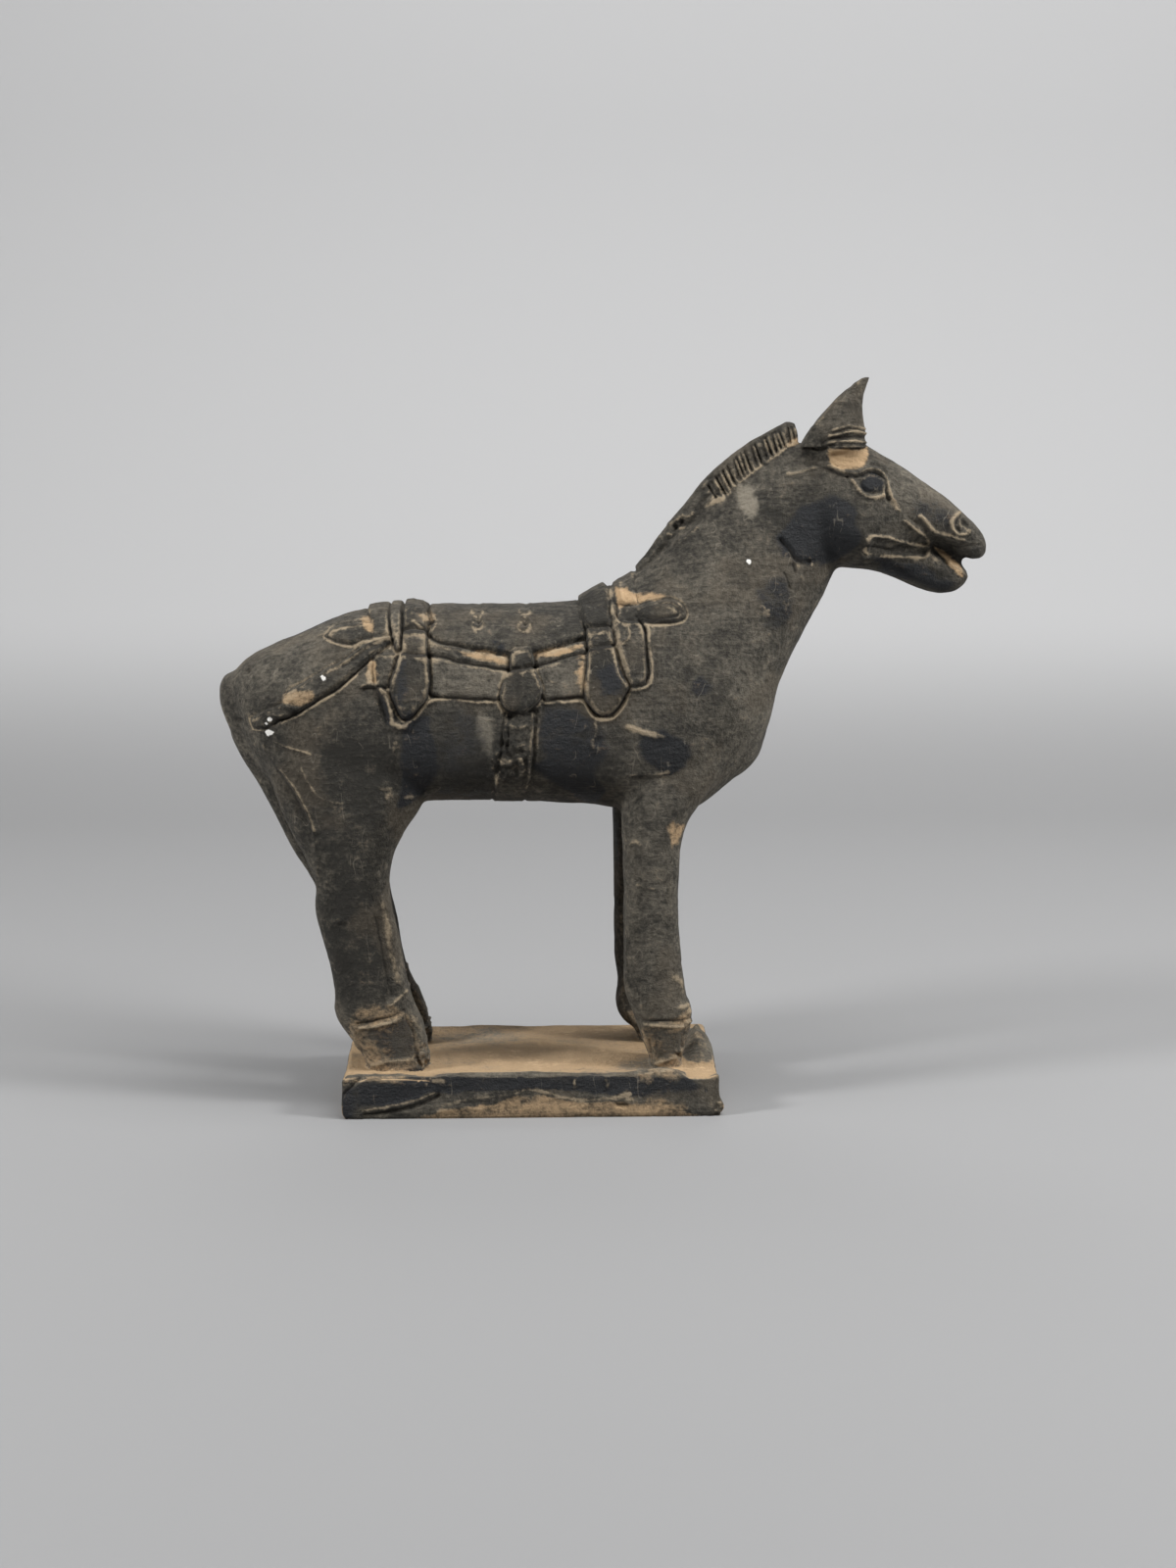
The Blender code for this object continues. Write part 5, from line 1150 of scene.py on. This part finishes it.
def crisp_mesh():
    """The members that keep their edges: the mane plate, the ears and the base."""
    mesh = bmesh.new()
    loft(mesh, mane_rows())
    loft(mesh, EAR, -1.0)
    loft(mesh, [(a, b - FAR_EAR_DROP, c, d - FAR_EAR_DROP, *rest) for a, b, c, d, *rest in EAR], 1.0)
    slab = bmesh.ops.create_cube(mesh, size=1.0)["verts"]
    bmesh.ops.scale(mesh, verts=slab, vec=(BASE_LENGTH, BASE_WIDTH, BASE_THICKNESS))
    bmesh.ops.translate(mesh, verts=slab, vec=(0.0, 0.0, BASE_THICKNESS / 2))
    edges = list({edge for vert in slab for edge in vert.link_edges})
    bmesh.ops.bevel(mesh, geom=edges, offset=BASE_EDGE_RADIUS, segments=3, affect="EDGES", profile=0.5)
    bmesh.ops.recalc_face_normals(mesh, faces=mesh.faces)
    return mesh


def object_from(name, mesh):
    """Turns a bmesh into an object in the scene."""
    data = bpy.data.meshes.new(name)
    mesh.to_mesh(data)
    mesh.free()
    item = bpy.data.objects.new(name, data)
    bpy.context.scene.collection.objects.link(item)
    return item


def applied(item):
    """Replaces an object's mesh by its evaluated one and drops its modifiers."""
    graph = bpy.context.evaluated_depsgraph_get()
    data = bpy.data.meshes.new_from_object(item.evaluated_get(graph))
    item.modifiers.clear()
    item.data = data
    return item


def remeshed(item, grid, passes):
    """Joins overlapping shapes into one closed skin and softens it."""
    joining = item.modifiers.new("one skin", "REMESH")
    joining.mode = "VOXEL"
    joining.voxel_size = grid
    joining.adaptivity = 0.0
    easing = item.modifiers.new("soft", "SMOOTH")
    easing.factor = 0.5
    easing.iterations = passes
    return applied(item)


def joined(name, items):
    """Puts the meshes of several objects into one object."""
    mesh = bmesh.new()
    for item in items:
        mesh.from_mesh(item.data)
        bpy.data.objects.remove(item, do_unlink=True)
    return object_from(name, mesh)


def write_mask(mesh, name, values):
    """Stores one number per point for the clay's material to read."""
    layer = mesh.attributes.new(name, "FLOAT", "POINT")
    layer.data.foreach_set("value", np.clip(values, 0.0, 1.0).astype(np.float32))


def near_share(points):
    """Rises from 0 on the far half to 1 on the near one."""
    return step_up(-points[:, 1], -NEAR_SIDE_FADE, NEAR_SIDE_FADE)


def slab_top(points, normals):
    return on_slab(points) * step_up(normals[:, 2], 0.35, 0.85) * step_up(points[:, 2], *SLAB_TOP_RANGE)


def film_mask(points, normals, shown, maps):
    """Dusty film, with painted light on the chest and nose: on the flank as its map says, thicker at the
    hooves and on the slab.
    """
    x, z = side_view(points)
    slab = on_slab(points)
    film_and_light = FILM_LEVEL + near_share(points) * shown * read_map(maps["film_and_light"], x, z)
    film_and_light += FILM_ON_HOOVES * step_up(GROUND - z, -HOOF_FILM_TOP, 0.0) * ~slab
    sides = slab & ~on_slab_front(points, normals)
    return np.where(sides, FILM_ON_SLAB, film_and_light) + slab_top(points, normals)


def ochre_mask(points, normals, shown, maps, solid):
    """Ochre: the patches on the flank, and what lies on the slab's top and low sides, with painted light on
    the top under the belly.
    """
    x, z = side_view(points)
    top = slab_top(points, normals)
    ochre_and_light = read_map(maps["ochre_and_light"], x, z) * shown * (FAR_OCHRE + (1.0 - FAR_OCHRE) * near_share(points))
    low_side = on_slab(points) * ~on_slab_front(points, normals) * step_up(-points[:, 2], *LOW_SIDE_RANGE)
    ochre_and_light = np.maximum(ochre_and_light, SLAB_SIDE_OCHRE * low_side)
    ochre_and_light = np.maximum(ochre_and_light, TOP_OCHRE * top)
    # Patches on the slab's top; the one under the belly is painted light where the body's shadow falls
    for u, v, reach_x, reach_y, amount in TOP_OCHRE_AND_LIGHT:
        middle = spots_on(solid, [(u, v)])[0]
        reach = np.hypot((points[:, 0] - middle[0]) / reach_x, (points[:, 1] - middle[1]) / reach_y)
        ochre_and_light += top * amount * (1.0 - step_up(reach, 0.3, 1.3))
    return ochre_and_light


def soot_mask(points, shown, maps):
    """Soot: the patches on the near flank, clouds on the far one, and a dark band along the slab's top edge.
    """
    x, z = side_view(points)
    slab = on_slab(points)
    soot = read_map(maps["soot"], x, z) * near_share(points) * shown
    axes = tuple(points.T)
    clouds = noise(axes, FAR_SOOT_CELL, 71) + 0.5 * noise(axes, FAR_SOOT_CELL / 3, 72)
    soot += FAR_SOOT * (1.0 - near_share(points)) * ~slab * step_up(clouds, 0.1, 0.7)
    rear, front, depth = EDGE_DARK_BAND
    along = step_up(points[:, 0], rear - EDGE_DARK_BAND_FADE, rear + EDGE_DARK_BAND_FADE)
    along *= step_up(-points[:, 0], -front - EDGE_DARK_BAND_FADE, -front + EDGE_DARK_BAND_FADE)
    rim = step_up(-points[:, 1], BASE_WIDTH / 2 - 1.6 * depth, BASE_WIDTH / 2 - 0.6 * depth)
    rim *= slab * (points[:, 2] > SLAB_TOP_RANGE[0]) * along
    return np.maximum(soot, rim)


def chip_mask(points, solid):
    """The white specks on the near side."""
    x, z = side_view(points)
    chips = np.zeros(len(points))
    for u, v, radius, _, white in DOTS:
        place = side_places(solid, [(u, v)])[0]
        reach = np.hypot(x - place[0], z - place[1]) / (radius * PIXEL)
        chips = np.maximum(chips, white * (1.0 - step_up(reach, 0.5, 1.2)) * near_share(points))
    return chips


def write_masks(item, maps, solid):
    """Works out where dust with painted light, painted shade, dusty film with painted light, ochre with
    painted light, soot and chips lie.
    """
    mesh = item.data
    points = coordinates(mesh)
    normals = normals_of(mesh)
    x, z = side_view(points)
    shown = (~on_slab(points) | on_slab_front(points, normals)) * facing_side(normals)
    soot = soot_mask(points, shown, maps)
    ochre_and_light = ochre_mask(points, normals, shown, maps, solid)
    write_mask(mesh, "dust_and_painted_light", read_map(maps["dust_and_painted_light"], x, z) * shown)
    write_mask(mesh, "painted_shade", read_map(maps["painted_shade"], x, z) * shown)
    write_mask(mesh, "film_and_light", film_mask(points, normals, shown, maps))
    write_mask(mesh, "soot", soot)
    write_mask(mesh, "ochre_and_light", ochre_and_light * (1.0 - OCHRE_UNDER_SOOT * soot))
    write_mask(mesh, "chip", chip_mask(points, solid))


# How strong the film, the ochre and the soot are where no mark says more. A hoof's film
# fades at a height in parts, and clouds of soot on the far side have a size in metres
FILM_LEVEL = 0.27
FILM_ON_HOOVES = 0.20
HOOF_FILM_TOP = 30.0
FILM_ON_SLAB = 0.25
SLAB_SIDE_OCHRE = 0.6
FAR_OCHRE = 0.55
FAR_SOOT = 0.65
FAR_SOOT_CELL = 0.030
TOP_OCHRE = 0.80
OCHRE_UNDER_SOOT = 0.8
# In metres: the width in which the near side's colours end, the heights at which the
# slab's top begins, and those, downwards, at which its low sides do
NEAR_SIDE_FADE = 0.004
SLAB_TOP_RANGE = (0.010, 0.0125)
LOW_SIDE_RANGE = (-0.007, -0.002)

# Colours, as linear light
CLAY_DEEP = (0.022, 0.020, 0.016, 1.0)
CLAY_PALE = (0.215, 0.190, 0.148, 1.0)
CLAY_BROWN = (0.085, 0.066, 0.044, 1.0)
SOOT_BLACK = (0.006, 0.007, 0.009, 1.0)
# The colour of the dust, also laid as painted light on ledges that face up
DUST_AND_LIGHT_TAN = (0.340, 0.270, 0.180, 1.0)
OCHRE_TAN = (0.430, 0.295, 0.165, 1.0)
OCHRE_PALE = (0.640, 0.450, 0.270, 1.0)
# The colour of painted shade in cuts, grooves, hollows, pits and under ledges
PAINTED_SHADE_DARK = (0.016, 0.014, 0.012, 1.0)
CHIP_WHITE = (0.800, 0.780, 0.740, 1.0)
SCRATCH_GREY = (0.210, 0.185, 0.145, 1.0)


def node(tree, kind, inputs=None, **settings):
    """Adds a shader node, its settings, and its inputs as values or as links."""
    made = tree.nodes.new(kind)
    for name, value in settings.items():
        setattr(made, name, value)
    for name, value in (inputs or {}).items():
        if isinstance(value, bpy.types.NodeSocket):
            tree.links.new(value, made.inputs[name])
        else:
            made.inputs[name].default_value = value
    return made


def grain(tree, place, scale, detail=4.0, roughness=0.55):
    return node(tree, "ShaderNodeTexNoise", {
        "Vector": place, "Scale": scale, "Detail": detail, "Roughness": roughness}).outputs["Fac"]


def stretched(tree, place, scale, turn=(0.0, 0.0, 0.0)):
    """The clay's own coordinates drawn out along one direction."""
    return node(tree, "ShaderNodeMapping", {
        "Vector": place, "Rotation": turn, "Scale": scale}).outputs["Vector"]


def ranged(tree, value, low, high, to_low=0.0, to_high=1.0):
    return node(tree, "ShaderNodeMapRange", {
        "Value": value, "From Min": low, "From Max": high, "To Min": to_low, "To Max": to_high},
        interpolation_type="SMOOTHSTEP").outputs["Result"]


def spread(tree, texture):
    """A noise drawn out to its full range, with its middle kept."""
    return ranged(tree, texture, 0.30, 0.70)


def maths(tree, operation, first, second):
    return node(tree, "ShaderNodeMath", {0: first, 1: second}, operation=operation).outputs[0]


def varied(tree, value, *noises):
    """A number changed up and down by noises, each with its own weight."""
    for texture, weight in noises:
        swing = maths(tree, "MULTIPLY", maths(tree, "SUBTRACT", texture, 0.5), weight)
        value = maths(tree, "ADD", value, swing)
    return value


def hairlines(tree, texture, width, places):
    """Thin broken lines where a noise crosses its middle."""
    away = node(tree, "ShaderNodeMath", {0: maths(tree, "SUBTRACT", texture, 0.5)}, operation="ABSOLUTE")
    return maths(tree, "MULTIPLY", ranged(tree, away.outputs[0], width, 0.0), places)


def layered(tree, under, colour, mask):
    """Lays a colour over another one where the mask says."""
    mix = node(tree, "ShaderNodeMix", data_type="RGBA")
    tree.links.new(mask, mix.inputs["Factor"])
    for name, value in (("A", under), ("B", colour)):
        socket = [s for s in mix.inputs if s.name == name and s.type == "RGBA"][0]
        if isinstance(value, bpy.types.NodeSocket):
            tree.links.new(value, socket)
        else:
            socket.default_value = value
    return [s for s in mix.outputs if s.type == "RGBA"][0]


def attribute(tree, name):
    return node(tree, "ShaderNodeAttribute", attribute_name=name).outputs["Fac"]


def clay_material():
    clay = bpy.data.materials.new("fired_clay")
    clay.use_nodes = True
    tree = clay.node_tree
    shader = tree.nodes["Principled BSDF"]
    place = node(tree, "ShaderNodeTexCoord").outputs["Object"]
    broad = spread(tree, grain(tree, place, 38.0, 4.0))
    patch = spread(tree, grain(tree, place, 130.0, 6.0, 0.62))
    brushed = stretched(tree, place, (0.16, 1.0, 1.0), (0.0, 0.12, 0.0))
    streak = spread(tree, grain(tree, brushed, 620.0, 4.0, 0.6))
    rough = grain(tree, place, 640.0, 5.0, 0.68)
    speck = spread(tree, rough)
    fine = grain(tree, place, 2300.0, 3.0)
    # The film sets the clay's tone, with painted light on the chest and nose
    tone = varied(tree, attribute(tree, "film_and_light"), (broad, 0.14), (patch, 0.22), (streak, 0.17), (speck, 0.28))
    colour = layered(tree, CLAY_DEEP, CLAY_PALE, ranged(tree, tone, -0.05, 1.05))
    brown = maths(tree, "MULTIPLY", ranged(tree, broad, 0.45, 0.95), 0.35)
    colour = layered(tree, colour, CLAY_BROWN, brown)
    soot = varied(tree, attribute(tree, "soot"), (patch, 0.40), (streak, 0.15), (speck, 0.18))
    soot = ranged(tree, soot, 0.14, 0.66)
    colour = layered(tree, colour, SOOT_BLACK, maths(tree, "MULTIPLY", soot, 0.96))
    scraped = stretched(tree, place, (1.0, 1.0, 0.3), (0.0, 0.9, 0.0))
    hairs = hairlines(tree, grain(tree, scraped, 95.0, 2.0), 0.006, ranged(tree, patch, 0.55, 0.8))
    colour = layered(tree, colour, SCRATCH_GREY, maths(tree, "MULTIPLY", hairs, 0.5))
    # Ochre, with painted light on the slab's top under the belly
    ochre_and_light = varied(tree, attribute(tree, "ochre_and_light"), (patch, 0.35), (speck, 0.28), (streak, 0.16))
    colour = layered(tree, colour, OCHRE_TAN, maths(tree, "MULTIPLY", ranged(tree, ochre_and_light, 0.15, 0.90), 0.92))
    colour = layered(tree, colour, OCHRE_PALE, ranged(tree, ochre_and_light, 0.95, 1.5))
    # Dust, with painted light on ledges that face up
    dust_and_painted_light = maths(tree, "MULTIPLY", attribute(tree, "dust_and_painted_light"), varied(tree, 0.9, (patch, 0.7), (broad, 0.7)))
    dust_and_painted_light = varied(tree, dust_and_painted_light, (patch, 0.22), (speck, 0.28))
    colour = layered(tree, colour, DUST_AND_LIGHT_TAN, maths(tree, "MULTIPLY", ranged(tree, dust_and_painted_light, 0.15, 0.90), 0.80))
    # Painted shade in cuts, grooves, hollows and under ledges
    painted_shade = varied(tree, attribute(tree, "painted_shade"), (patch, 0.35), (broad, 0.3))
    colour = layered(tree, colour, PAINTED_SHADE_DARK, maths(tree, "MULTIPLY", ranged(tree, painted_shade, 0.30, 1.0), 0.75))
    colour = layered(tree, colour, SCRATCH_GREY, ranged(tree, rough, 0.675, 0.73, 0.0, 0.6))
    # Fine specks of painted shade, as in small pits
    colour = layered(tree, colour, PAINTED_SHADE_DARK, ranged(tree, rough, 0.325, 0.27, 0.0, 0.7))
    chip = varied(tree, attribute(tree, "chip"), (speck, 0.3))
    colour = layered(tree, colour, CHIP_WHITE, ranged(tree, chip, 0.38, 0.60))
    tree.links.new(colour, shader.inputs["Base Color"])
    tree.links.new(ranged(tree, soot, 0.0, 1.0, 0.85, 0.60), shader.inputs["Roughness"])
    shader.inputs["Specular IOR Level"].default_value = 0.3
    height = maths(tree, "ADD", maths(tree, "MULTIPLY", rough, 1.1), maths(tree, "MULTIPLY", fine, 0.3))
    for texture, weight in ((patch, 0.22), (streak, 0.16), (ranged(tree, rough, 0.30, 0.37), 0.30)):
        height = maths(tree, "ADD", height, maths(tree, "MULTIPLY", texture, weight))
    bump = node(tree, "ShaderNodeBump", {"Height": height, "Distance": 0.0012, "Strength": 0.9})
    tree.links.new(bump.outputs["Normal"], shader.inputs["Normal"])
    return clay


# The floor, and the wall that is painted paler from a height in metres, standing in for the brighter light
# on it
FLOOR_GREY = (0.255, 0.255, 0.257, 1.0)
WALL_PAINTED_LIGHTER = (0.400, 0.400, 0.403, 1.0)
WALL_FROM = 0.10


def floor_material():
    pale = bpy.data.materials.new("floor_pale")
    pale.use_nodes = True
    tree = pale.node_tree
    shader = tree.nodes["Principled BSDF"]
    place = node(tree, "ShaderNodeTexCoord").outputs["Object"]
    up = node(tree, "ShaderNodeSeparateXYZ", {"Vector": place}).outputs["Z"]
    colour = layered(tree, FLOOR_GREY, WALL_PAINTED_LIGHTER, ranged(tree, up, 0.0, WALL_FROM))
    tree.links.new(colour, shader.inputs["Base Color"])
    shader.inputs["Roughness"].default_value = 0.75
    return pale


# The backdrop sweeps up behind the figure: half width, front edge, foot of the curve,
# radius and top, in metres
SWEEP_HALF_WIDTH = 1.6
SWEEP_FRONT = -1.4
SWEEP_FOOT = 0.55
SWEEP_RADIUS = 0.45
SWEEP_TOP = 1.9
SWEEP_STEPS = 24


def backdrop():
    """One sheet: a flat floor that curves up into a wall."""
    profile = [(SWEEP_FRONT, 0.0), (SWEEP_FOOT, 0.0)]
    for i in range(1, SWEEP_STEPS + 1):
        turn = math.pi / 2 * i / SWEEP_STEPS
        profile.append((SWEEP_FOOT + SWEEP_RADIUS * math.sin(turn), SWEEP_RADIUS * (1 - math.cos(turn))))
    profile.append((SWEEP_FOOT + SWEEP_RADIUS, SWEEP_TOP))
    mesh = bmesh.new()
    rows = [[mesh.verts.new((side * SWEEP_HALF_WIDTH, y, z)) for side in (-1, 1)] for y, z in profile]
    for (a, b), (c, d) in zip(rows, rows[1:]):
        mesh.faces.new((a, b, d, c))
    sheet = object_from("floor_sweep", mesh)
    sheet.data.shade_smooth()
    sheet.data.materials.append(floor_material())


# Soft lights: name, place, what they look at and size in metres, power in watts
LIGHTS = [
    ("overhead", (0.0, -0.16, 1.25), (0.0, 0.0, 0.0), 0.60, 2.9),
    ("behind", (-0.15, 0.75, 1.10), (0.0, 0.0, 0.10), 0.50, 1.6),
    ("left", (-1.10, -0.44, 0.66), (0.0, 0.0, 0.10), 0.26, 16.0),
    ("right", (1.10, -0.40, 0.72), (0.0, 0.0, 0.10), 0.26, 14.0),
    ("wall", (0.55, -0.20, 1.40), (0.62, 1.0, 0.15), 1.1, 16.5),
]
WORLD_GREY = 0.14


def studio():
    """Soft lamps, an even surround and the camera."""
    for name, place, target, size, power in LIGHTS:
        lamp = bpy.data.lights.new(name, "AREA")
        lamp.shape = "DISK"
        lamp.size = size
        lamp.energy = power
        item = bpy.data.objects.new(name, lamp)
        item.location = place
        item.rotation_euler = (Vector(target) - Vector(place)).to_track_quat("-Z", "Y").to_euler()
        bpy.context.scene.collection.objects.link(item)
    world = bpy.data.worlds.new("studio")
    world.use_nodes = True
    world.node_tree.nodes["Background"].inputs["Color"].default_value = (WORLD_GREY,) * 3 + (1.0,)
    bpy.context.scene.world = world
    lens = bpy.data.cameras.new("camera")
    lens.lens = CAMERA_LENS
    lens.clip_start = 0.01
    camera = bpy.data.objects.new("camera", lens)
    camera.location = CAMERA_PLACE
    camera.rotation_euler = (math.radians(CAMERA_TILT), 0.0, math.radians(CAMERA_TURN))
    bpy.context.scene.collection.objects.link(camera)
    bpy.context.scene.camera = camera
    bpy.context.scene.view_settings.view_transform = "Standard"


def main():
    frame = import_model()
    solid_box = [list(corner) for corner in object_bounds()]
    low, high = np.array(solid_box[0]), np.array(solid_box[1])
    graph = bpy.context.evaluated_depsgraph_get()
    solid = BVHTree.FromObject(frame["nodes"]["clay_horse"], graph)
    body = remeshed(object_from("body", body_mesh()), BLEND_GRID, BLEND_PASSES)
    crisp = object_from("crisp", crisp_mesh())
    horse = joined("horse_surface", [body, crisp])
    remeshed(horse, FINE_GRID, FINE_PASSES)
    maps = relief_maps(solid)
    carve(horse, maps)
    thinning = horse.modifiers.new("thin", "DECIMATE")
    thinning.ratio = min(1.0, TARGET_TRIANGLES / (2 * len(horse.data.polygons)))
    thinning.use_collapse_triangulate = True
    applied(horse)
    settle(horse, low, high)
    write_masks(horse, maps, solid)
    horse.data.shade_smooth()
    horse.data.materials.append(clay_material())
    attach(horse, "root")
    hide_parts("clay_horse")
    backdrop()
    studio()


main()
